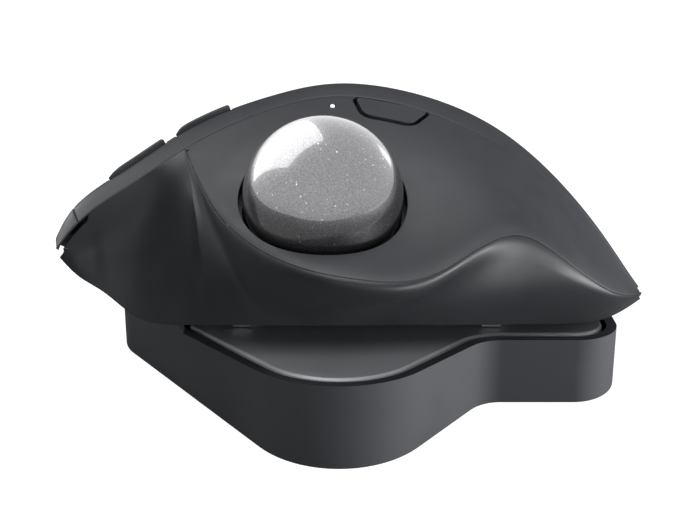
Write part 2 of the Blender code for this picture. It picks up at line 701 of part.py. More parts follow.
MOON_STATION = 5.63
MOON_CORNERS = [(-8.2, -0.3, 0.8), (-5.2, -6.6, 3.0), (5.4, -6.8, 3.0), (8.2, -0.3, 0.8)]
MOON_GAP = 0.7
OBLONG_CORNERS = [(-4.2, -2.0, 1.9), (4.2, -2.0, 1.9), (4.2, 2.0, 1.9), (-4.2, 2.0, 1.9)]
INLAY_REACH = 6.0         # how far a cutter reaches to each side of the skin
LIGHT_DEPTH = 3.2         # how far a light pipe reaches into the housing
SMALL_LIGHT = 0.6         # radius of the lights on the spine
SOCKET_SHIFT = Vector((0, -0.3, -0.35))    # the socket's opening sits a little low round the ball
WHEEL_SLOT = (22, 8.2, 24)


def build_shells():
    """The housing's walls and the buttons that take their place in the skin."""
    left = cells_between(0, CLICK_END, WHEEL_NEAR, CLICK_EDGE)
    left |= cells_between(0, NOSE_SEAM, CLICK_EDGE, BAND_LOW)
    right = cells_between(0, CLICK_END, FAR_SEAM, WHEEL_FAR)
    forward = cells_between(*FRONT_SIDE, CLICK_EDGE, RIDGE)
    back = cells_between(*REAR_SIDE, CLICK_EDGE, RIDGE)
    panel = cells_between(APEX, HEEL, BAND_LOW, ROUND)
    lower = cells_between(0, HEEL, LIP, FAR_SEAM)
    top = cells_between(0, HEEL, FAR_SEAM, BAND_LOW) - left - right - forward - back
    shell("left_click_button", left, GRAPHITE, inner_click, pivot=LEFT_PIVOT)
    shell("right_click_button", right, GRAPHITE, inner_click, seam_at=right_seam, pivot=RIGHT_PIVOT)
    for name, cells, stations in (("forward", forward, FRONT_SIDE), ("back", back, REAR_SIDE)):
        middle, _, _ = on_skin(sum(stations) / 2, CLICK_EDGE + 1)
        shell(f"{name}_button", cells, GRAPHITE, inner_side, raised_side, pad_seam, middle)
    lower_shell = shell("lower_shell", lower, DARK, inner_lower, seam_at=lower_seam)
    top_cover = shell("top_cover", top, GRAPHITE, inner_upper)
    thumb_panel = shell("thumb_panel", panel, RUBBER, inner_upper)
    return lower_shell, top_cover, thumb_panel


def cut(obj, cutters):
    for cutter in cutters:
        boolean(obj, cutter)
    return bake(obj)


def inlay(name, patch, place, corners, gap, mat):
    """A button that carries on the surface of its cover: the cover's patch cut to an outline.

    Returns the cutter for the hole around it.
    """
    reach = (-INLAY_REACH, INLAY_REACH, None, HOUSING, True, place)
    tool = slab(name + "_outline", rounded_outline(corners), *reach)
    button = shell(name, patch, mat, inner_upper, seam_at=no_seam, pivot=place.translation)
    boolean(button, tool, "INTERSECT")
    bake(button)
    return slab(name + "_hole", rounded_outline(inset(corners, -gap)), *reach)


def light(name, station, column, radius=0.9):
    """A light pipe in the skin. Returns the hole's cutter."""
    point, normal, _ = on_skin(station, column)
    rod(name, point - normal * LIGHT_DEPTH, point + normal * 0.1, radius, LENS, HOUSING, sides=12)
    reach = normal * INLAY_REACH
    return rod(name + "_hole", point - reach, point + reach, radius + CLEAR, None, HOUSING, 12, cutter=True)


def moon_frame():
    """Frame of the precision button, on the band's edge, leaning with the panel below it. +Y is up the panel."""
    edge, _, _ = on_skin(MOON_STATION, BAND_LOW)
    _, normal, along = on_skin(MOON_STATION, BAND_LOW + 1)
    return frame_towards(normal, edge, along)


def build_panel_holes(thumb_panel):
    """The precision button, its light and the ball's socket."""
    patch = cells_between(APEX, HEEL, BAND_LOW, ROUND)
    centre = BALL_CENTRE + SOCKET_SHIFT
    socket = rod("socket_cutter", centre - BALL_AXIS * 12, centre + BALL_AXIS * 20, SOCKET_RADIUS, None, HOUSING,
                 48, cutter=True)
    cut(thumb_panel, [inlay("precision_button", patch, moon_frame(), MOON_CORNERS, MOON_GAP, RUBBER),
                      light("precision_led", 4.55, BAND_LOW + 0.8), socket])


def build_cover_holes(top_cover):
    """The wheel's slot, and the channel button with its lights behind the wheel."""
    middle = (WHEEL_FAR + WHEEL_NEAR) / 2
    centre = wheel_centre()
    slot = box("wheel_slot", (centre.x, WHEEL_Y, centre.z + 6), WHEEL_SLOT, None, HOUSING, cutter=True)
    spine = cells_between(2.2, 3.5, WHEEL_FAR, WHEEL_NEAR)
    oblong = inlay("channel_button", spine, skin_frame(2.85, middle), OBLONG_CORNERS, CLEAR, GRAPHITE)
    cut(top_cover, [slot, oblong,
                    light("channel_led_1", 3.3, middle - 0.5, SMALL_LIGHT),
                    light("channel_led_2", 3.3, middle + 0.5, SMALL_LIGHT),
                    light("battery_led", 3.75, middle, SMALL_LIGHT)])


# ---- ball, cup, bearings and sensor; distances are from the ball's middle ----

BEARING_DIP = 38.0        # degrees that the bearings sit below the ball's middle
SEAT = (16.0, 22.0)       # from where to where the bearings' seats are bored
WINDOW = (14.0, 22.0)     # the same for the sensor's window in the cup
WINDOW_RADIUS = 3.3
LENS_SPAN = (18.2, 20.2)
LENS_RADIUS = 3.0
SENSOR_LEAN = Vector((0.25, 0.0, -1.0))    # the way the sensor looks from, in the cup's frame
SENSOR_BOARD = (15, 12, BOARD_THICK)
SENSOR_BOARD_AT = 21.4
EJECT = Vector((-9.5, -24.0, 0))           # ball eject hole in the underside
EJECT_RADIUS = 6.0


def cup_frame():
    return frame_towards(BALL_AXIS, BALL_CENTRE)


def cup_profile(steps=7):
    """Down the outside of a spherical bowl from its rim to the bottom, then back up the inside."""
    def arc(radius):
        rim = math.asin(CUP_DEPTH / radius)
        turns = [rim + (math.pi / 2 - rim) * i / steps for i in range(steps + 1)]
        return [(radius * math.cos(turn), -radius * math.sin(turn)) for turn in turns]
    return arc(CUP_OUTER) + arc(CUP_INNER)[::-1]


def bore(name, way, span, radius, sides):
    """A cutter along a direction from the ball's middle."""
    start, end = (BALL_CENTRE + way * distance for distance in span)
    return rod(name, start, end, radius, None, HOUSING, sides, cutter=True)


def build_ball():
    ball_solid("trackball", BALL_CENTRE, BALL_RADIUS, BALL_LACQUER, HOUSING)
    cup = turned("ball_cup", cup_profile(), DARK, HOUSING, cup_frame(), steps=28)
    turn = cup_frame().to_3x3()
    tools = []
    for i in range(3):
        round_cup = math.radians(90 + 120 * i)
        dip = math.radians(BEARING_DIP)
        level = Vector((math.cos(round_cup), math.sin(round_cup), 0))
        way = turn @ (level * math.cos(dip) - Vector((0, 0, math.sin(dip))))
        place = BALL_CENTRE + way * (BALL_RADIUS + CLEAR + BEARING_RADIUS)
        ball_solid(f"bearing_{i + 1}", place, BEARING_RADIUS, CERAMIC, HOUSING, across=12, down=8)
        tools.append(bore(f"bearing_seat_{i + 1}", way, SEAT, BEARING_RADIUS + CLEAR, 14))
    way = (turn @ SENSOR_LEAN).normalized()
    low, high = (BALL_CENTRE + way * distance for distance in LENS_SPAN)
    rod("sensor_lens", low, high, LENS_RADIUS, LENS, HOUSING)
    place = frame_towards(way, BALL_CENTRE + way * SENSOR_BOARD_AT)
    box("sensor_board", (0, 0, 0), SENSOR_BOARD, BOARD, HOUSING, place)
    cut(cup, tools + [bore("sensor_window", way, WINDOW, WINDOW_RADIUS, 16), eject_cutter()])


def eject_cutter():
    low, high = EJECT - Vector((0, 0, 5)), EJECT + Vector((0, 0, 16))
    return rod("eject_cutter", low, high, EJECT_RADIUS, None, HOUSING, 20, cutter=True)


# ---- scroll wheel: tyre and hub on an axle, in a carriage that tilts in a frame that presses down ----

TYRE_HALF = 3.1           # half of the tyre's width
TYRE_INNER = 7.3
TYRE_EDGE = (0.7, 1.0)    # bevel of the tread's edges, inwards and sideways
HUB_RADIUS = 7.0
HUB_HALF = 2.6
HUB_BORE = 1.3
AXLE_RADIUS = 1.0
AXLE_HALF = 5.2
AXLE_BORE = 1.3
CARRIAGE_TOP = 1.5        # above the axle
CARRIAGE_LOW = 2.2        # below the tyre
CARRIAGE_LONG = 3.6
CARRIAGE_WIDE = 9.6
CARRIAGE_GAP = 7.4        # room between its arms
GAP_HIGH = 20.0
TYRE_ROOM = 0.5           # between the tyre and the carriage's foot
FRAME_LONG = 12.6
FRAME_HIGH = 3.0
POCKET_LONG = 5.9         # pocket in the frame for the carriage's foot
POCKET_FLOOR = 0.9


def wheel_centre():
    point, _, _ = on_skin(1.42, (WHEEL_FAR + WHEEL_NEAR) / 2)
    return Vector((point.x, WHEEL_Y, point.z + WHEEL_PROUD - WHEEL_RADIUS))


def tyre_profile():
    inward, sideways = TYRE_EDGE
    side = WHEEL_RADIUS - inward
    flat = TYRE_HALF - sideways
    return [(TYRE_INNER, TYRE_HALF), (side, TYRE_HALF), (WHEEL_RADIUS, flat), (WHEEL_RADIUS, -flat),
            (side, -TYRE_HALF), (TYRE_INNER, -TYRE_HALF)]


def across(name, centre, half, radius, mat, cutter=False):
    """A rod through the wheel's middle, along its axle."""
    arm = Vector((0, half, 0))
    return rod(name, centre - arm, centre + arm, radius, mat, HOUSING, 14, cutter)


def build_wheel():
    """Returns the middle of the press frame's underside."""
    centre = wheel_centre()
    place = frame_towards((0, 1, 0), centre)
    hub = [(HUB_BORE, HUB_HALF), (HUB_RADIUS, HUB_HALF), (HUB_RADIUS, -HUB_HALF), (HUB_BORE, -HUB_HALF)]
    turned("scroll_tyre", tyre_profile(), RUBBER, HOUSING, place, steps=32)
    turned("wheel_hub", hub, PLASTIC, HOUSING, place, steps=24)
    across("wheel_axle", centre, AXLE_HALF, AXLE_RADIUS, STEEL)
    low = -WHEEL_RADIUS - CARRIAGE_LOW
    arms = box("wheel_carriage", centre + Vector((0, 0, (CARRIAGE_TOP + low) / 2)),
               (CARRIAGE_LONG, CARRIAGE_WIDE, CARRIAGE_TOP - low), PLASTIC, HOUSING, pivot=centre)
    gap_at = centre + Vector((0, 0, GAP_HIGH / 2 - WHEEL_RADIUS - TYRE_ROOM))
    gap = box("carriage_gap", gap_at, (9, CARRIAGE_GAP, GAP_HIGH), None, HOUSING, cutter=True)
    cut(arms, [gap, across("axle_bore", centre, CARRIAGE_WIDE, AXLE_BORE, None, cutter=True)])
    size = (FRAME_LONG, CARRIAGE_WIDE, FRAME_HIGH)
    cradle = box("press_frame", centre + Vector((0, 0, low)), size, PLASTIC, HOUSING)
    pocket = box("cradle_pocket", centre + Vector((0, 0, low - FRAME_HIGH / 2 + POCKET_FLOOR + 2)),
                 (POCKET_LONG, 16, 4), None, HOUSING, cutter=True)
    cut(cradle, [pocket])
    return centre + Vector((0, 0, low - FRAME_HIGH / 2))


# ---- switches, boards and the battery ----

CLICK_SWITCH = ((12.8, 5.8, 6.4), (3.0, 1.4, 0.8))     # body and nub of each kind of switch
SMALL_SWITCH = ((4.4, 3.2, 2.0), (1.6, 1.2, 0.5))
WHEEL_SWITCH = ((6.2, 5.4, 2.0), (2.4, 2.4, 0.6))
SWITCH_BOARD = (13, 7, BOARD_THICK)
CLICK_ROOM = 0.6          # from a click button's wall to its switch
SMALL_ROOM = 0.9          # the same for the small buttons
MAIN_BOARD = ((0, 13, 18.4), (68, 28, 1.6))            # middle and size
BATTERY = ((32, -1, 10.8), (32, 20, 6))
PORT = ((-59, WHEEL_Y, 15.2), (5, 7.6, 2.6))
PORT_OPENING = ((-60, WHEEL_Y, 15.2), (14, 8.4, 3.4))


def switch(name, place, kind):
    """A switch whose nub points along local +Z and ends at the frame's origin."""
    size, nub = kind
    body = box(name, (0, 0, -nub[2] - size[2] / 2), size, DARK, HOUSING, place)
    high = nub[2] + 0.2
    top = box(name + "_nub", (0, 0, -high / 2), (nub[0], nub[1], high), None, HOUSING, place, cutter=True)
    boolean(body, top, "UNION")
    return bake(body)


def build_switches():
    body, nub = CLICK_SWITCH
    board_at = -(nub[2] + body[2] + CLEAR + BOARD_THICK / 2)
    for name, column in (("left", (WHEEL_NEAR + CLICK_EDGE) / 2), ("right", SHOULDER + 1)):
        place = skin_frame(1.42, column, BUTTON_THICK + CLICK_ROOM)
        switch(f"{name}_switch", place, CLICK_SWITCH)
        box(f"{name}_switch_board", (0, 0, board_at), SWITCH_BOARD, BOARD, HOUSING, place)
    for name, stations in (("forward", FRONT_SIDE), ("back", REAR_SIDE)):
        place = skin_frame(sum(stations) / 2, CLICK_EDGE + 1, SIDE_BUTTON_SUNK + SMALL_ROOM)
        switch(f"{name}_switch", place, SMALL_SWITCH)
    switch("precision_switch", skin_frame(5.6, BAND_LOW + 1, WALL + SMALL_ROOM), SMALL_SWITCH)


def build_electronics(under_frame):
    switch("middle_switch", Matrix.Translation(under_frame + Vector((2.6, 0, -0.7))), WHEEL_SWITCH)
    box("main_board", *MAIN_BOARD, BOARD, HOUSING)
    box("battery", *BATTERY, CELL, HOUSING, bevel=0.8)
    box("charging_port", *PORT, STEEL, HOUSING)


# ---- underside: tilt hinge, magnets, screws, power switch ----

# The underside has two flats. The second is the first turned about the hinge. It carries the housing untilted.
FIRST_FLAT = Matrix.Identity(4)
SECOND_FLAT = (Matrix.Translation((0, 0, AXIS_HEIGHT)) @ Matrix.Rotation(math.radians(HINGE_ANGLE), 4, "X")
               @ Matrix.Translation((0, 0, -AXIS_HEIGHT)))
MAGNETS = ((-31, -14, FIRST_FLAT), (16, -15, FIRST_FLAT), (-26, 22, SECOND_FLAT), (22, 24, SECOND_FLAT))
SCREWS = ((-36, -22, FIRST_FLAT), (38, -14, FIRST_FLAT), (-36, 27, SECOND_FLAT), (30, 30, SECOND_FLAT))
MAGNET_RADIUS = 5.0
MAGNET_THICK = 2.0
HINGE_POCKET = (14, 10, 9)
HINGE_BLOCK = (13.4, 9.4, 4.8)
BLOCK_Z = 4.5             # middle of the block
BLOCK_ROUND = 2.7         # radius of the block about the pin
BRACKET = (4.2, 5.2)      # length and width of a bracket
BRACKET_ROUND = 2.6
BRACKET_GAP = (5.0, 9.2, 9.2)      # room for the bracket in its block
PIN_HALF = 6.2
PIN_BORE = PIN_RADIUS + CLEAR + 0.05
KNOB_X, KNOB_Y = 2.5, -20.0        # power slider


def along_hinge(name, x, z, half, radius, mat, frame, sides=16, cutter=False):
    """A rod on the hinge axis, about x."""
    return rod(name, (x - half, 0, z), (x + half, 0, z), radius, mat, frame, sides, cutter)


def build_hinge_block(name, x):
    """The block in the housing that turns on a pin."""
    block = box(f"{name}_hinge_block", (x, 0, BLOCK_Z), HINGE_BLOCK, PLASTIC, HOUSING)
    half = HINGE_BLOCK[0] / 2
    ring = along_hinge(f"{name}_hinge_round", x, AXIS_HEIGHT, half, BLOCK_ROUND, None, HOUSING, 20, cutter=True)
    bore_tool = along_hinge(f"{name}_hinge_bore", x, AXIS_HEIGHT, 12, PIN_BORE, None, HOUSING, cutter=True)
    gap = box(f"{name}_bracket_gap", (x, 0, 2), BRACKET_GAP, None, HOUSING, cutter=True)
    boolean(block, ring, "UNION")
    cut(block, [gap, bore_tool])


def build_hinge_bracket(name, x):
    """The bracket on the plate, with its pin."""
    axis = AXIS_HEIGHT + PLATE_GAP
    long, wide = BRACKET
    size = (long, wide, axis - CLEAR)
    bracket = box(f"{name}_hinge_bracket", (x, 0, (axis + CLEAR) / 2), size, STEEL, PLATE)
    head = along_hinge(f"{name}_bracket_head", x, axis, long / 2, BRACKET_ROUND, None, PLATE, 20, cutter=True)
    hole = along_hinge(f"{name}_bracket_hole", x, axis, 9, PIN_RADIUS + CLEAR, None, PLATE, cutter=True)
    boolean(bracket, head, "UNION")
    cut(bracket, [hole])
    along_hinge(f"{name}_hinge_pin", x, axis, PIN_HALF, PIN_RADIUS, STEEL, PLATE)


def build_screw(number, x, y, flat):
    """A screw from one of the flats. Returns the cutters for its recess and its hole."""
    def at(z):
        return flat @ Vector((x, y, z))
    head = rod(f"housing_screw_{number}", at(0.1), at(0.7), 2.4, STEEL, HOUSING, sides=14)
    shank = rod(f"screw_shank_{number}", at(0.3), at(7), 1.0, None, HOUSING, 10, cutter=True)
    boolean(head, shank, "UNION")
    bake(head)
    return [rod(f"screw_recess_{number}", at(-2), at(1.0), 2.7, None, HOUSING, 14, cutter=True),
            rod(f"screw_hole_{number}", at(-2), at(6), 1.35, None, HOUSING, 12, cutter=True)]


def build_power_slider():
    middle = (KNOB_X, KNOB_Y, 1.6)
    knob = box("power_slider", middle, (5.6, 3.4, 2.4), PLASTIC, HOUSING, pivot=middle)
    keeper = box("power_keeper", (KNOB_X, KNOB_Y, 3.1), (9, 7, 1.2), None, HOUSING, cutter=True)
    boolean(knob, keeper, "UNION")
    bake(knob)
    return box("power_slot", (4, KNOB_Y, 1), (9.6, 4.2, 6), None, HOUSING, cutter=True)


def build_underside(lower_shell):
    tools = [build_power_slider(), eject_cutter(),
             box("port_opening", *PORT_OPENING, None, HOUSING, cutter=True)]
    for name, x in (("front", -HINGE_X), ("rear", HINGE_X)):
        build_hinge_block(name, x)
        build_hinge_bracket(name, x)
        pocket_at = (x, 0, AXIS_HEIGHT)
        tools.append(box(f"{name}_hinge_pocket", pocket_at, HINGE_POCKET, None, HOUSING, cutter=True))
    for i, (x, y, flat) in enumerate(MAGNETS):
        low, high = (flat @ Vector((x, y, WALL + CLEAR + up)) for up in (0, MAGNET_THICK))
        rod(f"magnet_{i + 1}", low, high, MAGNET_RADIUS, MAGNET, HOUSING, sides=20)
    for i, (x, y, flat) in enumerate(SCREWS):
        tools += build_screw(i + 1, x, y, flat)
    cut(lower_shell, tools)


# ---- wedge and plate ----

# Plan corners of the wedge, each with its rounding, anticlockwise from the front of the thumb side.
WEDGE_CORNERS = [(-57.5, 7, 10), (-6.5, -56.6, 22.3), (26, -17.6, 9), (57.5, -17.6, 10), (53, WEDGE_REACH, 18),
                 (-52, WEDGE_REACH, 20)]
WEDGE_TALL = 40.0         # height it is drawn to before its top is cut
SOLE_INSET = 2.5          # sole's edge inside the plate's
FAR = 200.0               # size of the boxes that cut along the plate's plane


def front_cut(corners, x):
    """The outline's part behind a plane across x, for corners whose first and last lie in front of it."""
    (x0, y0, _), (x1, y1, _) = corners[0], corners[1]
    flank = y0 + (y1 - y0) * (x - x0) / (x1 - x0)
    top = corners[-1][1]
    return [(x, flank, 2.0)] + corners[1:-1] + [(x, top, 4.0)]


def above_plane(name, level, start=-FAR / 2):
    """A cutter for everything above a level of the plate's frame and behind a start along x."""
    return box(name, (start + FAR / 2, 0, level + FAR / 2), (FAR, FAR, FAR), None, PLATE, cutter=True)


def sloping_cutter(name, corners, level, keep_above):
    """A cutter over an outline of the desk that ends at a level of the plate's frame, above it or below it."""
    tool = slab(name, rounded_outline(corners), -5, WEDGE_TALL + 5, None, DESK, cutter=True)
    middle = level - FAR / 2 if keep_above else level + FAR / 2
    rest = box(name + "_limit", (0, 0, middle), (FAR, FAR, FAR), None, PLATE, cutter=True)
    return bake(boolean(tool, rest))


def build_wedge():
    rim = inset(WEDGE_CORNERS, RIM_WALL)
    depth = PLATE_THICK + SOLE_THICK + 2 * CLEAR
    wedge = slab("wedge_base", rounded_outline(WEDGE_CORNERS), 0.0, WEDGE_TALL, WEDGE_RUBBER, DESK)
    plate_corners = front_cut(rim, PLATE_FRONT - (PLATE_INSET - RIM_WALL))
    hollow = inset(WEDGE_CORNERS, HOLLOW_INSET)
    cut(wedge, [above_plane("wedge_top", RIM_RAISE - RIM_DROP),
                above_plane("rim_level", -RIM_DROP, RAISED_END),
                sloping_cutter("ledge_cutter", rim, -RIM_DROP, keep_above=True),
                sloping_cutter("plate_recess", plate_corners, -depth, keep_above=True),
                sloping_cutter("wedge_hollow", hollow, -depth - RECESS_FLOOR, keep_above=False)])
    pad = rounded_outline(inset(WEDGE_CORNERS, HOLLOW_INSET + CLEAR))
    slab("wedge_pad", pad, 0.0, PAD_THICK, WEDGE_RUBBER, DESK)


def to_plate(point):
    """Plan point of the desk frame, carried straight down onto the plate's plane, in the plate's frame."""
    lean = math.radians(WEDGE_ANGLE)
    y = (point.y - AXIS_Y + (AXIS_HEIGHT + PLATE_GAP) * math.sin(lean)) / math.cos(lean)
    return Vector((point.x, y))


def build_plate():
    corners = front_cut(inset(WEDGE_CORNERS, PLATE_INSET), PLATE_FRONT)
    outline = [to_plate(p) for p in rounded_outline(corners)]
    slab("base_plate", outline, -PLATE_THICK, 0.0, PLATE_COAT, PLATE)
    sole = [to_plate(p) for p in rounded_outline(inset(corners, SOLE_INSET))]
    under = -PLATE_THICK - CLEAR
    slab("plate_sole", sole, under - SOLE_THICK, under, WEDGE_RUBBER, PLATE)


def build_all():
    lower_shell, top_cover, thumb_panel = build_shells()
    build_panel_holes(thumb_panel)
    build_cover_holes(top_cover)
    build_ball()
    under_frame = build_wheel()
    build_switches()
    build_electronics(under_frame)
    build_underside(lower_shell)
    build_wedge()
    build_plate()


build_all()
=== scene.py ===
"""Looks of a thumb-operated trackball mouse on its tilt plate and wedge.

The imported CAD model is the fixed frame. The visible pieces are drawn again here with finer meshes, rounded
edges and procedural materials, each in the place of its CAD node. Sizes are millimetres, turned into metres at
the end. The housing is drawn upright in its own frame and hung on the tilt joint, as in the CAD.
"""

import json
import math

import bmesh
import bpy
import numpy as np
from mathutils import Matrix, Quaternion, Vector


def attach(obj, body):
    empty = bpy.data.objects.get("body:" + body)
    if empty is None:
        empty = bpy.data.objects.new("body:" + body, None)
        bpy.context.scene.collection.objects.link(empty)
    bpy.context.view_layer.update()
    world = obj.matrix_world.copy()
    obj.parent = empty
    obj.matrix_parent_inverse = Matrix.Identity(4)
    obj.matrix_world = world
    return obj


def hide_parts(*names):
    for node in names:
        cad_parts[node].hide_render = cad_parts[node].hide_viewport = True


MM = 0.001

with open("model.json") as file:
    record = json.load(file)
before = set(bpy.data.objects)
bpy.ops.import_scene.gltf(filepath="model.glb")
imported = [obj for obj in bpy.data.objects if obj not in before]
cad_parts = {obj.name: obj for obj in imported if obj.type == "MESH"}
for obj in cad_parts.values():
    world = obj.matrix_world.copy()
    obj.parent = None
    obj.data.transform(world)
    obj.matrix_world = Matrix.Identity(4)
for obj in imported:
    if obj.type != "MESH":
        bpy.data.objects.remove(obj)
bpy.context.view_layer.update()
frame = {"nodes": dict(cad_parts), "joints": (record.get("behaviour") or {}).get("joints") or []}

# ---- driving dimensions, millimetres and degrees ----
JOINTS = {joint["name"]: joint for joint in frame["joints"]}
HINGE = Vector(JOINTS["tilt"]["pos_m"]) / MM
HINGE_ANGLE = JOINTS["tilt"]["range_deg"][1]
WEDGE_ANGLE = 10.0
AXIS_HEIGHT = 3.0         # hinge axis above the housing's underside
PLATE_GAP = 0.4           # plate top to the housing's underside
PLATE_THICK = 1.9
SOLE_THICK = 0.8
RIM_DROP = 0.3            # rim of the wedge below the plate's top
RIM_WALL = 2.3
RIM_RAISE = 2.2           # how much higher the rim is round the front
RAISED_END = -41.0        # where the raised front rim has come down
RAISED_SLOPE = 2.2        # length over which it comes down
RECESS_FLOOR = 1.2
HOLLOW_INSET = 4.0
PLATE_FRONT = -40.0
PLATE_INSET = 3.4
PLATE_CHAMFER = 0.5
FLOOR_REACH = 4000
ROOM_REACH = 420          # half width of the room of light that only the ball sees
ROOM_HEIGHT = 400
WALL = 1.8                # housing wall
EDGE_WALL = 0.35          # the wall thins to this at the sharp edges
THIN_SHARE = 0.2          # a wall is at most this share of the section's depth
HEEL_SHARE = 0.1          # and at the heel this share of the depth at its own place
EDGE_SLOPE = 0.3          # how fast the wall thickens away from the sharp edges
HEEL_EDGE_SLOPE = 0.14    # and at the heel
BUTTON_THICK = 1.6
BUTTON_EDGE = 0.4         # a click button's wall at its rim
BUTTON_SLOPE = 0.2        # and how fast it thickens inwards
NOSE_LEAN = 0.6           # how far the button's inner face lies behind its front edge
LOWER_EDGE = 0.35         # the lower shell's wall under the right button's rim
LOWER_SLOPE = 0.075       # and how fast it thickens away from it
NOSE_WALL = 0.8           # least wall of the lower shell at the nose
SIDE_THICK = 1.2          # depth of a side button below the skin
SEAM = 0.2                # how far a button's rim is drawn back
SHELL_SEAM = 0.04         # and the rim of a shell that doesn't move
CLEAR = 0.3               # gap left between pieces that rest on each other
CLICK_GAP = 1.2           # free height under the front of the click buttons
PAD_SEAM = 0.25           # how far a side button's rim is drawn back
PAD_ROLL = 0.6            # and its radius
EDGE_ROLL = 0.35          # radius of a button's rounded rim
SHELL_ROLL = 0.12         # and of the rim of a shell that doesn't move
CREST = 0.6               # height of the narrow crest that runs down the wall from the apex
CREST_REACH = 0.12        # and its half width, in stations
SIDE_BUTTON_PROUD = 1.2
BALL_RADIUS = 17.0
BALL_CENTRE = Vector((-9.5, -30.0, 27.2))
BALL_AXIS = Vector((0.05, -0.755, 0.654)).normalized()
SOCKET_RADIUS = 17.9
WHEEL_RADIUS = 9.5
WHEEL_Y = 11.7
WHEEL_PROUD = 2.2
EJECT = Vector((-9.5, -24.0, 0))
EJECT_RADIUS = 6.0
HINGE_X = 28.0

HOUSING = (Matrix.Translation(HINGE) @ Matrix.Rotation(math.radians(-WEDGE_ANGLE - HINGE_ANGLE), 4, "X")
           @ Matrix.Translation((0, 0, -AXIS_HEIGHT)))
PLATE = (Matrix.Translation(HINGE) @ Matrix.Rotation(math.radians(-WEDGE_ANGLE), 4, "X")
         @ Matrix.Translation((0, 0, -AXIS_HEIGHT - PLATE_GAP)))
DESK = Matrix.Identity(4)


# ---- materials ----

class Finish:
    """A node material built up from a Principled shader."""

    def __init__(self, name, colour, roughness, metallic=0.0, **inputs):
        self.made = bpy.data.materials.new(name)
        self.made.use_nodes = True
        self.tree = self.made.node_tree
        self.shader = self.tree.nodes["Principled BSDF"]
        self.where = self.node("ShaderNodeTexCoord").outputs["Object"]
        self.shader.inputs["Base Color"].default_value = (*colour, 1)
        self.shader.inputs["Roughness"].default_value = roughness
        self.shader.inputs["Metallic"].default_value = metallic
        for key, value in inputs.items():
            self.shader.inputs[key.replace("_", " ")].default_value = value
        self.colour = colour
        self.roughness = roughness
        self.normal = None

    def node(self, kind, **values):
        made = self.tree.nodes.new(kind)
        for key, value in values.items():
            setattr(made, key, value)
        return made

    def link(self, start, end):
        self.tree.links.new(start, end)

    def noise(self, size, detail=3.0):
        """Cloudy noise whose blobs are about size millimetres across."""
        made = self.node("ShaderNodeTexNoise")
        made.inputs["Scale"].default_value = 1 / (size * MM)
        made.inputs["Detail"].default_value = detail
        self.link(self.where, made.inputs["Vector"])
        return made.outputs["Fac"]

    def cells(self, size, feature="F1"):
        made = self.node("ShaderNodeTexVoronoi", feature=feature)
        made.inputs["Scale"].default_value = 1 / (size * MM)
        self.link(self.where, made.inputs["Vector"])
        return made

    def spread(self, value, low, high, first=0.3, last=0.7):
        """The value from first..last carried to low..high."""
        made = self.node("ShaderNodeMapRange")
        for key, number in (("From Min", first), ("From Max", last), ("To Min", low), ("To Max", high)):
            made.inputs[key].default_value = number
        self.link(value, made.inputs["Value"])
        return made.outputs["Result"]

    def mix(self, share, first, second):
        made = self.node("ShaderNodeMix", data_type="RGBA")
        made.inputs["A"].default_value = (*first, 1)
        made.inputs["B"].default_value = (*second, 1)
        self.link(share, made.inputs["Factor"])
        return made.outputs["Result"]

    def rounded_edges(self, radius):
        made = self.node("ShaderNodeBevel", samples=4)
        made.inputs["Radius"].default_value = radius * MM
        self.normal = made.outputs["Normal"]
        self.link(self.normal, self.shader.inputs["Normal"])
        return self

    def bump(self, height, strength, depth):
        made = self.node("ShaderNodeBump")
        made.inputs["Strength"].default_value = strength
        made.inputs["Distance"].default_value = depth * MM
        self.link(height, made.inputs["Height"])
        if self.normal:
            self.link(self.normal, made.inputs["Normal"])
        self.normal = made.outputs["Normal"]
        self.link(self.normal, self.shader.inputs["Normal"])
        return self

    def clouded(self, size, amount):
        """Base colour that drifts by amount, as moulded plastic does."""
        first = [c * (1 - amount) for c in self.colour]
        second = [c * (1 + amount) for c in self.colour]
        share = self.spread(self.noise(size), 0, 1)
        self.link(self.mix(share, first, second), self.shader.inputs["Base Color"])
        return self

    def worn(self, size, amount):
        """Roughness that drifts by amount."""
        rough = self.spread(self.noise(size), self.roughness - amount, self.roughness + amount)
        self.link(rough, self.shader.inputs["Roughness"])
        return self


def moulded(name, colour, roughness, grain, edge=0.25, metallic=0.0):
    """Spark-eroded plastic: a fine even grain, slow drift of tone, softly rounded edges."""
    made = Finish(name, colour, roughness, metallic)
    made.rounded_edges(edge)
    made.bump(made.noise(grain, 2.0), 0.7, 0.02)
    made.bump(made.noise(grain * 9), 0.1, 0.03)
    return made.clouded(14, 0.07).worn(6, 0.05).made


def ball_finish():
    """Clear gloss over a dark base full of fine metal flakes."""
    made = Finish("ball_lacquer", (0.15, 0.15, 0.16), 0.3, 0.95,
                  Coat_Weight=1.0, Coat_Roughness=0.015, Coat_IOR=1.8)
    grain = made.spread(made.noise(0.3, 1.0), 0, 1)
    base = made.mix(grain, (0.09, 0.09, 0.095), (0.19, 0.19, 0.20))
    flakes = made.cells(0.27)
    bright = made.spread(flakes.outputs["Color"], 0, 1, 0.91, 1.0)
    shine = made.node("ShaderNodeMix", data_type="RGBA")
    shine.inputs["B"].default_value = (0.95, 0.95, 1.0, 1)
    made.link(bright, shine.inputs["Factor"])
    made.link(base, shine.inputs["A"])
    made.link(shine.outputs["Result"], made.shader.inputs["Base Color"])
    made.bump(flakes.outputs["Color"], 0.25, 0.05)
    made.bump(made.noise(0.15, 1.0), 0.2, 0.02)
    return made.made


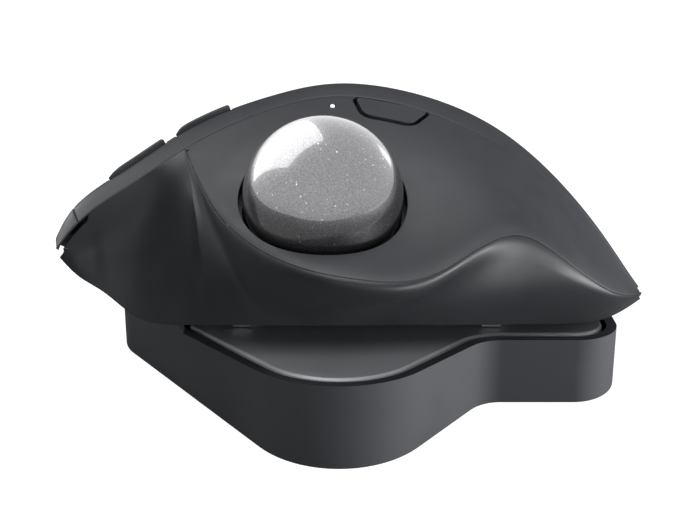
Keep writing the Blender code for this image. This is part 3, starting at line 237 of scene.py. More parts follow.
def metal(name, colour, roughness, streak=0.4):
    """Metal with fine scratches drawn along X."""
    made = Finish(name, colour, roughness, 1.0)
    made.rounded_edges(0.12)
    stretch = made.node("ShaderNodeMapping")
    stretch.inputs["Scale"].default_value = (0.05, 1, 1)
    made.link(made.where, stretch.inputs["Vector"])
    lines = made.node("ShaderNodeTexNoise")
    lines.inputs["Scale"].default_value = 1 / (streak * MM)
    made.link(stretch.outputs["Vector"], lines.inputs["Vector"])
    made.bump(lines.outputs["Fac"], 0.12, 0.02)
    return made.clouded(9, 0.06).worn(5, 0.05).made


def coated_steel():
    made = Finish("plate_steel", (0.41, 0.42, 0.445), 0.45, 0.1)
    made.bump(made.noise(0.25, 2.0), 0.25, 0.015)
    return made.clouded(18, 0.06).worn(8, 0.04).made


def wedge_finish():
    """Cast rubber with a fine pebbled skin."""
    made = Finish("wedge_rubber", (0.0285, 0.0303, 0.035), 0.62, Specular_IOR_Level=0.45)
    made.bump(made.cells(0.55, "SMOOTH_F1").outputs["Distance"], 0.3, 0.04)
    made.bump(made.noise(0.2, 2.0), 0.25, 0.02)
    return made.clouded(20, 0.08).worn(9, 0.05).made


def lit_lens():
    made = Finish("light_pipe", (0.7, 0.72, 0.75), 0.3, Emission_Strength=0.6)
    made.shader.inputs["Emission Color"].default_value = (1, 1, 1, 1)
    made.bump(made.noise(0.4), 0.1, 0.01)
    return made.made


def board_finish():
    """Solder mask over a faint pattern of copper tracks."""
    made = Finish("circuit_board", (0.02, 0.1, 0.05), 0.35)
    tracks = made.cells(1.6, "F1").outputs["Distance"]
    share = made.spread(tracks, 0, 1)
    made.link(made.mix(share, (0.015, 0.085, 0.04), (0.03, 0.14, 0.07)), made.shader.inputs["Base Color"])
    made.bump(tracks, 0.2, 0.05)
    return made.made


MOULDED = {
    "graphite_shell": ((0.034, 0.0365, 0.042), 0.46, 0.28),
    "rubber_grip": ((0.030, 0.032, 0.037), 0.52, 0.36),
    "dark_casing": ((0.0155, 0.0172, 0.0205), 0.43, 0.3),
    "engineering_plastic": ((0.05, 0.05, 0.054), 0.5, 0.4, 0.15),
    "ceramic": ((0.75, 0.74, 0.7), 0.15, 0.8, 0.1),
    # Chamfer of the plate: bare metal at a cut edge, made paler still as a painted highlight, so a light line runs
    # along the edge whatever the lamps do.
    "chamfer_with_painted_highlight": ((0.6, 0.61, 0.64), 0.4, 0.3, 0.25, 0.3),
}
METALS = {
    "steel": ((0.55, 0.55, 0.57), 0.3),
    "magnet": ((0.6, 0.59, 0.57), 0.2),
    "battery_foil": ((0.5, 0.51, 0.53), 0.38, 1.2),
}
FINISHES = {
    **{name: moulded(name, *values) for name, values in MOULDED.items()},
    **{name: metal(name, *values) for name, values in METALS.items()},
    "wedge_rubber": wedge_finish(),
    "plate_steel": coated_steel(),
    "circuit_board": board_finish(),
    "light_pipe": lit_lens(),
    "ball_lacquer": ball_finish(),
}


# ---- objects ----

def new_object(name, data):
    """A named object in the scene, from a light, a camera or a bmesh, which is used up."""
    if isinstance(data, bmesh.types.BMesh):
        bm, data = data, bpy.data.meshes.new(name)
        bm.to_mesh(data)
        bm.free()
    obj = bpy.data.objects.new(name, data)
    bpy.context.scene.collection.objects.link(obj)
    return obj


def place(name, bm, space, body, finish, nodes=(), smooth=40, extra=None):
    """A finished piece from a bmesh drawn in millimetres in a space, riding on a CAD body for its CAD nodes."""
    bmesh.ops.recalc_face_normals(bm, faces=bm.faces)
    if bm.calc_volume(signed=True) < 0:
        bmesh.ops.reverse_faces(bm, faces=bm.faces)
    bmesh.ops.transform(bm, matrix=Matrix.Scale(MM, 4) @ space, verts=bm.verts)
    obj = new_object(name, bm)
    mesh = obj.data
    mesh.shade_smooth()
    mesh.set_sharp_from_angle(angle=math.radians(smooth))
    if body is None:
        obj.hide_render = True
        obj.hide_viewport = True
        return obj
    mesh.materials.append(FINISHES[finish])
    if extra:
        mesh.materials.append(FINISHES[extra])
    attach(obj, body)
    if nodes:
        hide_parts(*nodes)
    return obj


def cutter(name, bm, space):
    return place(name, bm, space, None, None)


def cut(obj, tools, operation="DIFFERENCE"):
    """Applies Booleans and keeps the smooth shading, then removes the tools."""
    for tool in tools:
        tool.hide_viewport = False
        made = obj.modifiers.new("cut", "BOOLEAN")
        made.object = tool
        made.operation = operation
        made.solver = "EXACT"
    bpy.context.view_layer.update()
    mesh = bpy.data.meshes.new_from_object(obj.evaluated_get(bpy.context.evaluated_depsgraph_get()))
    obj.modifiers.clear()
    old = obj.data
    obj.data = mesh
    bpy.data.meshes.remove(old)
    mesh.name = obj.name
    mesh.set_sharp_from_angle(angle=math.radians(40))
    for tool in tools:
        bpy.data.objects.remove(tool)
    return obj


def softened(obj, width, segments=3, angle=40, material=-1):
    """Rounded edges by a Bevel modifier, with even shading."""
    bevel = obj.modifiers.new("rounded edges", "BEVEL")
    bevel.width = width * MM
    bevel.segments = segments
    bevel.limit_method = "ANGLE"
    bevel.angle_limit = math.radians(angle)
    bevel.material = material
    bevel.miter_outer = "MITER_ARC"
    obj.modifiers.new("even shading", "WEIGHTED_NORMAL").keep_sharp = True
    return obj


def towards(direction, centre, roll_x=Vector((1, 0, 0))):
    """Matrix that puts local +Z along direction, with local +X as near to roll_x as it can be."""
    z = Vector(direction).normalized()
    x = (Vector(roll_x) - z * z.dot(Vector(roll_x))).normalized()
    turn = Matrix((x, z.cross(x), z)).transposed().to_4x4()
    return Matrix.Translation(Vector(centre)) @ turn


def box_shape(centre, size, bevel=0.0):
    bm = bmesh.new()
    bmesh.ops.create_cube(bm, size=1.0)
    bmesh.ops.scale(bm, vec=size, verts=bm.verts)
    if bevel:
        bmesh.ops.bevel(bm, geom=bm.edges[:], offset=bevel, segments=4, affect="EDGES", profile=0.5)
    bmesh.ops.translate(bm, vec=centre, verts=bm.verts)
    return bm


def turned_shape(profile, steps=64):
    """A solid of revolution about local Z from a closed (radius, height) profile."""
    bm = bmesh.new()
    ring = [bm.verts.new((r, 0, h)) for r, h in profile]
    edges = [bm.edges.new((a, b)) for a, b in zip(ring, ring[1:] + ring[:1])]
    bmesh.ops.spin(bm, geom=ring + edges, axis=(0, 0, 1), cent=(0, 0, 0), angle=2 * math.pi, steps=steps,
                   use_merge=True)
    bmesh.ops.remove_doubles(bm, verts=bm.verts, dist=0.0001)
    return bm


def rod_shape(start, end, radius, sides=64):
    start, end = Vector(start), Vector(end)
    bm = bmesh.new()
    bmesh.ops.create_cone(bm, cap_ends=True, segments=sides, radius1=radius, radius2=radius,
                          depth=(end - start).length)
    turn = (end - start).to_track_quat("Z", "Y").to_matrix().to_4x4()
    bmesh.ops.transform(bm, matrix=Matrix.Translation((start + end) / 2) @ turn, verts=bm.verts)
    return bm


def prism_shape(outline, low, high, matrix=None):
    """A prism over an outline; low and high are heights, or functions of (x, y)."""
    bm = bmesh.new()
    rings = []
    for level in (low, high):
        rings.append([bm.verts.new((p.x, p.y, level(p.x, p.y) if callable(level) else level)) for p in outline])
    bm.faces.new(rings[0][::-1])
    bm.faces.new(rings[1])
    for i in range(len(outline)):
        j = (i + 1) % len(outline)
        bm.faces.new((rings[0][i], rings[0][j], rings[1][j], rings[1][i]))
    if matrix:
        bmesh.ops.transform(bm, matrix=matrix, verts=bm.verts)
    return bm


def rounded_outline(corners, per_arc=20):
    """Plan outline from (x, y, radius) corners, each rounded by an arc tangent to its two sides."""
    points = []
    for i, (x, y, radius) in enumerate(corners):
        here = Vector((x, y))
        before = Vector(corners[i - 1][:2]) - here
        after = Vector(corners[(i + 1) % len(corners)][:2]) - here
        half = before.angle(after) / 2
        middle = here + (before.normalized() + after.normalized()).normalized() * radius / math.sin(half)
        first = here + before.normalized() * radius / math.tan(half) - middle
        last = here + after.normalized() * radius / math.tan(half) - middle
        sweep = first.angle_signed(last)
        for step in range(per_arc + 1):
            arm = first.copy()
            arm.rotate(Matrix.Rotation(-sweep * step / per_arc, 2))
            points.append(middle + arm)
    return points


def inset(corners, amount):
    """The same corners for an outline moved inwards by amount, anticlockwise corners."""
    moved = []
    for i, (x, y, radius) in enumerate(corners):
        here = Vector((x, y))
        before = (here - Vector(corners[i - 1][:2])).normalized()
        after = (Vector(corners[(i + 1) % len(corners)][:2]) - here).normalized()
        inward = [Vector((-side.y, side.x)) for side in (before, after)]
        share = amount / (1 + inward[0].dot(inward[1]))
        corner = here + (inward[0] + inward[1]) * share
        convex = before.cross(after) > 0
        moved.append((corner.x, corner.y, max(radius - amount if convex else radius + amount, 0.3)))
    return moved


# ---- the form of the housing: the CAD's rails, sampled finely ----

RAILS = {
    "lip": {2: (-39.5, -19.5, 38), 2.6: (-32, -32, 24), 3: (-26.5, -38, 18.5), 4: (-14, -47.5, 11.5),
        5: (-2, -50.5, 9), 6: (13, -46, 10), 7: (28, -36, 18.5), 7.4: (33.5, -33.5, 19),
        8: (42.5, -30, 13), 9: (53.5, -21, 6.5), 10: (61, -8, 7)},
    "wall_high": {0: (-66.5, -22, 15.5), 1: (-50.5, -20.5, 20), 1.85: (-38.5, -25, 27),
        2.2: (-34.5, -29, 23), 3: (-26.5, -37, 13), 4: (-14, -45, 8), 5: (-2.5, -47.5, 6),
        6: (11.5, -44, 7), 7: (26, -35, 13), 8: (41.5, -29.5, 9.5), 9: (53, -20, 5.2),
        10: (61, -7.5, 6.5)},
    "wall_low": {0: (-66.5, -21, 15), 0.5: (-58, -20.8, 11.2), 1: (-49.5, -21, 8.2),
        1.85: (-36.5, -29, 12.5), 2.2: (-31.5, -33.5, 11), 3: (-25, -36, 6.5), 5: (-3, -41.5, 3),
        7: (22, -33.5, 5.5), 9: (52, -17, 3), 10: (61, -5, 6)},
    "foot": {0: (-66.5, -20, 14.5), 0.2: (-63, -20.3, 10.9), 0.5: (-57.5, -20.8, 7.4),
        1: (-49.5, -21.5, 1.5), 1.5: (-41, -26, 0), 2: (-34, -29.5, 0), 3: (-22, -33.5, 0),
        5: (-3, -34, 0), 7: (23, -27, 0), 8: (36, -20.5, 0), 8.6: (43.5, -16, 0), 9.2: (52, -11, 1),
        10: (61.5, -3, 5.5)},
    "keel": {0: (-63, 1, 11), 0.5: (-56.5, 0.5, 8), 1: (-49.5, 0.5, 5), 1.5: (-42.5, 0.5, 2.2),
        1.8: (-38.5, 0.5, 0.5), 2: (-36, 0.5, 0), 2.4: (-31, 0.5, 0), 5: (-1.5, 0.5, 0),
        8: (37, 0.5, 0), 8.6: (45, 0.5, 0), 9.2: (52.5, 0.5, 1), 10: (61.5, 3.5, 6)},
    "far_foot": {0: (-59, 25, 12.5), 2: (-38, 36, 13.2), 5: (-3, 42, 15.1), 8: (35, 33.5, 12),
        10: (58.5, 16, 9)},
    "far_wall": {0: (-57.5, 29.5, 13.5), 2: (-38, 40.5, 18), 5: (-3, 47, 21.5), 8: (35.5, 38, 17),
        10: (57.5, 19.5, 10)},
    "far_seam": {0: (-56, 31.5, 14.5), 2: (-38, 40.5, 22.5), 5: (-3, 47, 28.5), 8: (35.5, 38.5, 22.5),
        10: (57.5, 20.5, 11)},
    "shoulder": {0: (-61, 26, 15), 2: (-39, 31.5, 31), 5: (-3, 37, 42), 8: (37.5, 31, 29.5),
        10: (60, 16, 9.5)},
    "wheel_far": {0: (-66, 17, 15.5), 2: (-41, 19.5, 38), 5: (-3, 22.5, 49.5), 8: (38.5, 19.5, 34),
        10: (61.5, 11, 8.5)},
    "wheel_near": {0: (-67.5, 6, 17), 0.3: (-64.7, 6, 21.7), 1: (-54, 6.5, 31), 2: (-41, 8, 41),
        3.5: (-21, 11, 49.5), 5: (-3, 12.5, 52.5), 6.5: (18, 12.7, 48), 8: (38.5, 11.5, 36),
        10: (62.5, 7.5, 8.2)},
    "click_edge": {0: (-67.5, -14, 18.5), 0.3: (-64.5, -13, 23.5), 1: (-54, -11, 32.5),
        2: (-40.5, -6, 42.2), 3.5: (-20.5, 1.5, 51), 5: (-3, 5, 53.8), 6.5: (18, 5.2, 49.3),
        8: (38.3, 4.5, 36.8), 9: (51.2, 5, 23), 10: (62.5, 6, 8.2)},
    "ridge": {0: (-67.5, -20, 18), 0.3: (-64.7, -19.7, 23.5), 1: (-54, -18, 32.5), 2: (-40, -13.5, 42.2),
        3.5: (-20.5, -5.5, 51), 5: (-3, -2, 53.9), 6.5: (18, -1.7, 49.5), 8: (38, -2.5, 37.2),
        9: (51, -0.5, 23.3), 10: (62, 4, 8)},
    "band_low": {0: (-67, -22.5, 16), 0.5: (-60.5, -23.6, 23.2), 1: (-52.5, -23, 29), 2: (-39.5, -19.5, 38),
        4: (-14, -8.6, 49.6), 5: (-2.5, -7, 50.5), 7: (25, -9, 42), 9: (51, -5, 21.5),
        10: (61.5, 2, 7.4)},
    "scoop_high": {2: (-39, -20, 37.7), 2.6: (-31.6, -21.6, 36.6), 4: (-14, -20, 40), 5: (-2, -20, 39),
        7: (26, -19, 33.5), 8: (39.5, -17, 26.5), 10: (61.5, -2, 7.2)},
    "scoop_low": {2: (-39, -20.3, 37.3), 2.6: (-31.7, -27.4, 29.4), 4: (-14, -35.5, 21.5),
        5: (-2, -36.5, 19.5), 6: (12.5, -34.5, 19.5), 7: (27, -28, 25), 8: (41, -24.5, 19.5),
        10: (61, -5, 7)},
}
HEEL = 10.0
APEX = 2.0
HEEL_TAPER = 8.5
NOSE_SEAM = 0.4
CLICK_END = 2.75
FRONT_SIDE = (0.87, 1.7)
REAR_SIDE = (1.85, 2.75)
SEAM_STATIONS = [0, NOSE_SEAM, *FRONT_SIDE, 1.85, 1.96, APEX, 2.04, 2.2, CLICK_END,
                 3.5, 6.2, 7.2, HEEL_TAPER, 9.6, HEEL]
STATION_STEP = 0.085
NOSE_GAP_END = NOSE_SEAM + STATION_STEP
FINE = 4         # columns drawn for each one of the CAD's


def spline(knots, values, at):
    """Natural cubic spline through values (n, 3) at knots (n,), evaluated at the numbers in at."""
    knots, values, at = np.asarray(knots, float), np.asarray(values, float), np.atleast_1d(at).astype(float)
    n = len(knots)
    if n == 2:
        share = ((at - knots[0]) / (knots[1] - knots[0]))[:, None]
        return values[0] * (1 - share) + values[1] * share
    gap = np.diff(knots)
    system = np.eye(n)
    right = np.zeros_like(values)
    for i in range(1, n - 1):
        system[i, i - 1:i + 2] = gap[i - 1], 2 * (gap[i - 1] + gap[i]), gap[i]
        right[i] = 6 * ((values[i + 1] - values[i]) / gap[i] - (values[i] - values[i - 1]) / gap[i - 1])
    bend = np.linalg.solve(system, right)
    k = np.clip(np.searchsorted(knots, at, side="right") - 1, 0, n - 2)
    h = gap[k][:, None]
    a, b = (knots[k + 1] - at)[:, None] / h, (at - knots[k])[:, None] / h
    return (a * values[k] + b * values[k + 1]
            + ((a ** 3 - a) * bend[k] + (b ** 3 - b) * bend[k + 1]) * h ** 2 / 6)


def rail_at(name, station):
    """The rail's point at a station. In front of the apex the scoop's rails join the band's edge."""
    if station < APEX and name in ("lip", "scoop_high", "scoop_low"):
        name = "band_low"
    rail = RAILS[name]
    return spline(list(rail), list(rail.values()), station)[0]


WALL_RUN = (("lip", "wall_high", "wall_low", "foot"), (2, 2, 3))
UNDER_RUN = (("foot", "keel"), (2,))
FAR_UNDER_RUN = (("keel", "far_foot"), (2,))
OVER_RUN = (("far_foot", "far_wall", "far_seam", "shoulder", "wheel_far", "wheel_near", "click_edge", "ridge",
             "band_low"), (2, 2, 3, 3, 2, 3, 2, 2))
SCOOP_RUN = (("band_low", "scoop_high", "scoop_low", "lip"), (3, 4, 3))
RUNS = (WALL_RUN, UNDER_RUN, FAR_UNDER_RUN, OVER_RUN, SCOOP_RUN)


def fill_stations():
    rows = []
    for first, last in zip(SEAM_STATIONS, SEAM_STATIONS[1:]):
        count = max(1, round((last - first) / STATION_STEP))
        rows += [first + (last - first) * i / count for i in range(count)]
    return np.array(rows + [HEEL])


def section(station):
    """Points round one section, starting at the lip, and the index at which each rail sits."""
    points, where = [], {}
    for names, steps in RUNS:
        ends = np.array([rail_at(name, station) for name in names])
        lengths = np.maximum(np.linalg.norm(np.diff(ends, axis=0), axis=1), 1e-6) ** 0.7
        knots = np.concatenate([[0], np.cumsum(lengths)])
        at = []
        for i, coarse in enumerate(steps):
            count = coarse * FINE
            where.setdefault(names[i], len(points) + len(at))
            at += [knots[i] + (knots[i + 1] - knots[i]) * j / count for j in range(count)]
        points += list(spline(knots, ends, at))
    return np.array(points), where


STATIONS = fill_stations()
SECTIONS = [section(s) for s in STATIONS]
WHERE = SECTIONS[0][1]
OUTER = np.array([points for points, _ in SECTIONS])
ROUND = OUTER.shape[1]
LAST = len(STATIONS) - 1


def surface_normals(cells):
    """Outward normals of a patch of the skin at its corners, averaged over its cells."""
    total = {}
    for r, c in cells:
        n = (c + 1) % ROUND
        normal = np.cross(OUTER[r + 1, n] - OUTER[r, c], OUTER[r + 1, c] - OUTER[r, n])
        length = np.linalg.norm(normal)
        if length < 1e-5:
            continue
        for p in ((r, c), (r, n), (r + 1, n), (r + 1, c)):
            total[p] = total.get(p, 0) + normal / math.sqrt(length)
    return {p: value / max(np.linalg.norm(value), 1e-9) for p, value in total.items()}


def round_the_lip():
    """Evens out the points beside the scoop's sharp lip, so that it becomes a thick rounded one."""
    for row, station in enumerate(STATIONS):
        share = np.interp(station, LIP_SPAN, (0, 1, 1, 0))
        for _ in range(LIP_PASSES):
            near = OUTER[row, LIP_COLUMNS - 1], OUTER[row, LIP_COLUMNS], OUTER[row, LIP_COLUMNS + 1]
            OUTER[row, LIP_COLUMNS] = near[1] + ((near[0] + near[2]) / 2 - near[1]) * share


def raise_crest():
    """The narrow crest on the wall in front of the scoop."""
    for row, station in enumerate(STATIONS):
        height = CREST * max(0, 1 - abs(station - APEX) / CREST_REACH)
        for column in range(1, WHERE["foot"]):
            fade = min(column / (2 * FINE), (WHERE["foot"] - column) / (3 * FINE), 1)
            OUTER[row, column] += NORMALS[(row, column)] * SIDE * height * fade


ALL_CELLS = {(r, c) for r in range(LAST) for c in range(ROUND)}
LIP_SPAN = (2.1, 2.8, 8.4, 9.6)      # stations between which the lip's rounding comes and goes
LIP_PASSES = 10
LIP_COLUMNS = np.arange(-5, 6)       # columns on both sides of the lip, which is column 0
round_the_lip()
NORMALS = surface_normals(ALL_CELLS)
SIDE = 1.0 if NORMALS[(LAST // 3, WHERE["wheel_near"])][2] > 0 else -1.0
raise_crest()
NORMALS = surface_normals(ALL_CELLS)


def row_of(station):
    return int(np.argmin(np.abs(STATIONS - station)))


LIP = WHERE["lip"]
FOOT = WHERE["foot"]
FAR_FOOT = WHERE["far_foot"]
NOSE_ROWS = 4                        # rows behind the nose that move with its rim
FAR_SEAM = WHERE["far_seam"]
NOSE_RIM = FAR_SEAM - 5 * FINE       # the nose's rim lies under the right button from this column on
WHEEL_FAR = WHERE["wheel_far"]
WHEEL_NEAR = WHERE["wheel_near"]
CLICK_EDGE = WHERE["click_edge"]
RIDGE = WHERE["ridge"]
BAND_LOW = WHERE["band_low"]


def normal_at(p):
    return NORMALS.get(p, np.array((1.0, 0, 0)) * SIDE) * SIDE


def depth_at(row, y=6.0):
    """Height between the highest and lowest skin of a section at a y."""
    near = OUTER[row]
    far = np.roll(near, -1, axis=0)
    crossing = (near[:, 1] - y) * (far[:, 1] - y) < 0
    if not crossing.any():
        return 0.0
    a, b = near[crossing], far[crossing]
    heights = a[:, 2] + (b[:, 2] - a[:, 2]) * (y - a[:, 1]) / (b[:, 1] - a[:, 1])
    return heights.max() - heights.min()


DEPTHS = [depth_at(row) for row in range(len(STATIONS))]


def edge_distance(p):
    """Distance to the sharp edge of the section: the lip, or the band's edge in front of the apex."""
    to_lip = np.linalg.norm(OUTER[p] - OUTER[p[0], LIP])
    if STATIONS[p[0]] > APEX:
        return to_lip
    return min(to_lip, np.linalg.norm(OUTER[p] - OUTER[p[0], BAND_LOW]))


def offset_point(p, depth):
    """The skin point moved inwards by depth, or by less where the body is thin and beside a sharp edge."""
    heel = STATIONS[p[0]] > HEEL_TAPER
    depth = min(depth, THIN_SHARE * DEPTHS[p[0]],
                EDGE_WALL + (HEEL_EDGE_SLOPE if heel else EDGE_SLOPE) * edge_distance(p))
    if heel:
        depth = min(depth, max(EDGE_WALL, HEEL_SHARE * depth_at(p[0], OUTER[p][1])))
    return OUTER[p] - normal_at(p) * depth


def inner_upper(p):
    if p[0] == LAST:
        return OUTER[p] + (-WALL, 0, 0)
    return offset_point(p, WALL)


def inner_click(p):
    thick = min(BUTTON_THICK, BUTTON_EDGE + BUTTON_SLOPE * np.linalg.norm(OUTER[p] - OUTER[p[0], FAR_SEAM]))
    if p[0] == 0:
        thick = min(thick, BUTTON_EDGE + BUTTON_SLOPE * np.linalg.norm(OUTER[p] - OUTER[0, BAND_LOW]))
        return OUTER[p] + (NOSE_LEAN, 0, -thick)
    return offset_point(p, thick)


def front_edge(y):
    """(x, z) of the click buttons' front edge at a y."""
    row = OUTER[0, FAR_SEAM:BAND_LOW + 1]
    row = row[np.argsort(row[:, 1])]
    return np.interp(y, row[:, 1], row[:, 0]), np.interp(y, row[:, 1], row[:, 2])


def inner_lower(p):
    if p[0] == LAST:
        return OUTER[p] + (-WALL, 0, 0)
    if p[0] == 0:
        x, y, z = OUTER[p]
        front, top = front_edge(y)
        return np.array([max(front + CLICK_GAP, x + NOSE_WALL), y, max(top - BUTTON_THICK - CLICK_GAP, z)])
    thick = WALL
    if STATIONS[p[0]] <= CLICK_END:
        thick = min(WALL, LOWER_EDGE + LOWER_SLOPE * np.linalg.norm(OUTER[p] - OUTER[p[0], FAR_SEAM]))
    return offset_point(p, thick)


def inner_side(p):
    return OUTER[p] - normal_at(p) * SIDE_THICK


def even_seam(p):
    return SEAM


def shell_seam(p):
    return SHELL_SEAM


def lower_seam(p):
    """The lower shell keeps clear of the click buttons, which swing down over its edge."""
    station = STATIONS[p[0]]
    if p[1] == FAR_SEAM and station <= CLICK_END:
        return 2 * CLICK_GAP * (1 - station / CLICK_END) + CLEAR
    if (p[1] == LIP and station < NOSE_GAP_END) or (p[0] == 0 and p[1] > NOSE_RIM):
        return CLICK_GAP
    return SHELL_SEAM


def follow_rim(p):
    """The far drawn-back rim points that a point of the lower shell moves with, and how much of their way."""
    row, column = p
    found = []
    if row > 0 and STATIONS[row] <= CLICK_END and FAR_FOOT < column < FAR_SEAM:
        found.append(((row, FAR_SEAM), (column - FAR_FOOT) / (FAR_SEAM - FAR_FOOT)))
    if STATIONS[row] < NOSE_GAP_END and LIP < column < FOOT:
        found.append(((row, LIP), 1 - column / FOOT))
    if 0 < row < NOSE_ROWS and NOSE_RIM < column < FAR_SEAM:
        found.append(((0, column), 1 - row / NOSE_ROWS))
    return found


def rim_of(cells):
    """Edges on the border of a set of cells, each with the cell that it belongs to."""
    used = {}
    for r, c in cells:
        n = (c + 1) % ROUND
        loop = [(r, c), (r, n), (r + 1, n), (r + 1, c)]
        for a, b in zip(loop, loop[1:] + loop[:1]):
            used[(a, b)] = (r, c)
    border = {edge: cell for edge, cell in used.items() if (edge[1], edge[0]) not in used}
    return used, border


def rim_pulls(border):
    """For each point of the border, the way into the patch and how much room there is before the next point."""
    pulls = {}
    for (a, b), (r, c) in border.items():
        n = (c + 1) % ROUND
        middle = (OUTER[r, c] + OUTER[r, n] + OUTER[r + 1, n] + OUTER[r + 1, c]) / 4
        along = OUTER[b] - OUTER[a]
        length = np.linalg.norm(along)
        if length < 1e-4:
            continue
        along = along / length
        inward = middle - OUTER[a]
        inward = inward - along * inward.dot(along)
        width = np.linalg.norm(inward)
        for p in (a, b):
            pulls.setdefault(p, []).append((inward / max(width, 1e-6), 2 * width))
    found = {}
    for p, items in pulls.items():
        total = np.sum([way for way, _ in items], axis=0)
        total = total / max(np.linalg.norm(total), 1e-6)
        mitre = max(np.mean([total.dot(way) for way, _ in items]), 0.5)
        found[p] = (total / mitre, min(width for _, width in items))
    return found


def wall_shape(cells, inner_point, seam_at=even_seam, roll_at=lambda p: EDGE_ROLL, lift_at=lambda p: 0.0,
               follow_at=lambda p: ()):
    """A solid wall over cells of the skin, its outer rim rounded and drawn back to leave the panel gap."""
    used, border = rim_of(cells)
    pulls = rim_pulls(border)
    own = surface_normals(cells)
    bm = bmesh.new()
    outer, inner, arcs = {}, {}, {}
    arc_steps = 4
    for p in {point for edge in used for point in edge}:
        normal = own.get(p, np.zeros(3)) * SIDE
        drawn = sum((pulls[rim][0] * seam_at(rim) * share for rim, share in follow_at(p)), np.zeros(3))
        top = OUTER[p] + normal * lift_at(p) + drawn
        if p not in pulls:
            outer[p] = bm.verts.new(top)
            inner[p] = bm.verts.new(inner_point(p) + drawn)
            continue
        way, room = pulls[p]
        seam = seam_at(p)
        # The rounding ends short of the next point of the patch.
        roll = min(roll_at(p), max(0.75 * room - seam, 0.02))
        arcs[p] = []
        for step in range(arc_steps + 1):
            angle = math.pi / 2 * step / arc_steps
            back = seam + roll * (1 - math.sin(angle))
            down = roll * (1 - math.cos(angle))
            arcs[p].append(bm.verts.new(top + way * back - normal * down))
        outer[p] = arcs[p][0]
        inner[p] = bm.verts.new(inner_point(p) + drawn + way * seam)
    for r, c in cells:
        n = (c + 1) % ROUND
        loop = [(r, c), (r, n), (r + 1, n), (r + 1, c)]
        bm.faces.new([outer[p] for p in loop])
        bm.faces.new([inner[p] for p in reversed(loop)])
    for a, b in border:
        first = arcs.get(a, [outer[a]] * (arc_steps + 1)) + [inner[a]]
        second = arcs.get(b, [outer[b]] * (arc_steps + 1)) + [inner[b]]
        for i in range(arc_steps + 1):
            corners = []
            for vert in (second[i], first[i], first[i + 1], second[i + 1]):
                if vert not in corners:
                    corners.append(vert)
            if len(corners) > 2:
                bm.faces.new(corners)
    bmesh.ops.remove_doubles(bm, verts=bm.verts, dist=0.0004)
    return bm


def cells_between(first, last, first_column, last_column):
    return {(r, c) for r in range(row_of(first), row_of(last)) for c in range(first_column, last_column)}


def on_skin(station, column):
    """A point of the skin, the outward normal there and the direction towards the heel, for a CAD column."""
    row = int(np.searchsorted(STATIONS, station, side="right") - 1)
    share = (station - STATIONS[row]) / (STATIONS[row + 1] - STATIONS[row])
    k = int(round(column)) % ROUND
    point = OUTER[row, k] * (1 - share) + OUTER[row + 1, k] * share
    along = OUTER[row + 1, k] - OUTER[row, k]
    return Vector(point), Vector(normal_at((row, k))).normalized(), Vector(along).normalized()


# ---- housing ----

def shell_roll(p):
    return SHELL_ROLL


def pad_lift(first):
    """Height of a side button: it rises from a low front end and is even behind it."""
    def lift(p):
        share = min(max((STATIONS[p[0]] - first) / 0.22, 0), 1)
        return SIDE_BUTTON_PROUD * (0.45 + 0.55 * math.sin(math.pi / 2 * share))
    return lift


MOON = [(-8.2, -0.3, 0.8), (-5.2, -6.6, 3.0), (5.4, -6.8, 3.0), (8.2, -0.3, 0.8)]
MOON_STATION = 5.63
LED_RADIUS = 0.5
LIGHT_RADIUS = 0.6
OBLONG = [(-4.2, -2.0, 1.9), (4.2, -2.0, 1.9), (4.2, 2.0, 1.9), (-4.2, 2.0, 1.9)]


def moon_place():
    """Frame of the precision button, on the band's lower edge, and its corners, running down into the scoop."""
    _, normal, along = on_skin(MOON_STATION, BAND_LOW + FINE)
    edge, _, _ = on_skin(MOON_STATION, BAND_LOW)
    matrix = towards(normal, edge, along)
    corners = MOON
    if (matrix.to_3x3() @ Vector((0, 1, 0))).z < 0:
        corners = [(x, -y, r) for x, y, r in reversed(MOON)]
    return matrix, corners


def inlay(name, patch, matrix, corners, finish, body):
    """A button that carries on the surface of its cover."""
    button = place(name, wall_shape(patch, inner_upper, seam_at=lambda p: 0.0, roll_at=lambda p: 0.0),
                   HOUSING, body, finish, [name.replace("_cap", "")])
    tool = cutter(name + "_outline", prism_shape(rounded_outline(corners), -6, 6, matrix), HOUSING)
    cut(button, [tool], "INTERSECT")
    return button


def light_hole(name, station, column, radius):
    point, normal, _ = on_skin(station, column)
    return cutter(name, rod_shape(point - normal * 5, point + normal * 5, radius + CLEAR, 24), HOUSING)


def build_lens(name, station, column, radius):
    """A light pipe with a domed end, just proud of the skin."""
    point, normal, _ = on_skin(station, column)
    dome = [(radius * math.cos(a), 0.25 * math.sin(a)) for a in np.linspace(0, math.pi / 2, 7)]
    profile = [(0, -3.2), (radius, -3.2)] + dome
    matrix = HOUSING @ towards(normal, point)
    place(name + "_dome", turned_shape(profile, 32), matrix, "housing", "light_pipe", [name])


def build_thumb_panel():
    cells = cells_between(APEX, HEEL, BAND_LOW, ROUND)
    wall = wall_shape(cells, inner_upper, shell_seam, shell_roll)
    panel = place("thumb_panel_skin", wall, HOUSING, "housing", "rubber_grip", ["thumb_panel"])
    matrix, corners = moon_place()
    away = 0.45 if corners is MOON else -0.45
    hole = [(x, y - away, r) for x, y, r in inset(corners, -0.9)]
    led = (4.55, BAND_LOW + 0.8 * FINE)
    middle = BALL_CENTRE + Vector((0, -0.3, -0.35))
    socket = rod_shape(middle - BALL_AXIS * 12, middle + BALL_AXIS * 20, SOCKET_RADIUS, 160)
    tools = [cutter("moon_hole", prism_shape(rounded_outline(hole), -6, 6, matrix), HOUSING),
             cutter("socket", socket, HOUSING),
             light_hole("led_hole", *led, LED_RADIUS)]
    cut(panel, tools)
    inlay("precision_button_cap", cells_between(4.6, 6.6, BAND_LOW, BAND_LOW + 5 * FINE), matrix, corners,
          "rubber_grip", "precision")
    build_lens("precision_led", *led, LED_RADIUS)


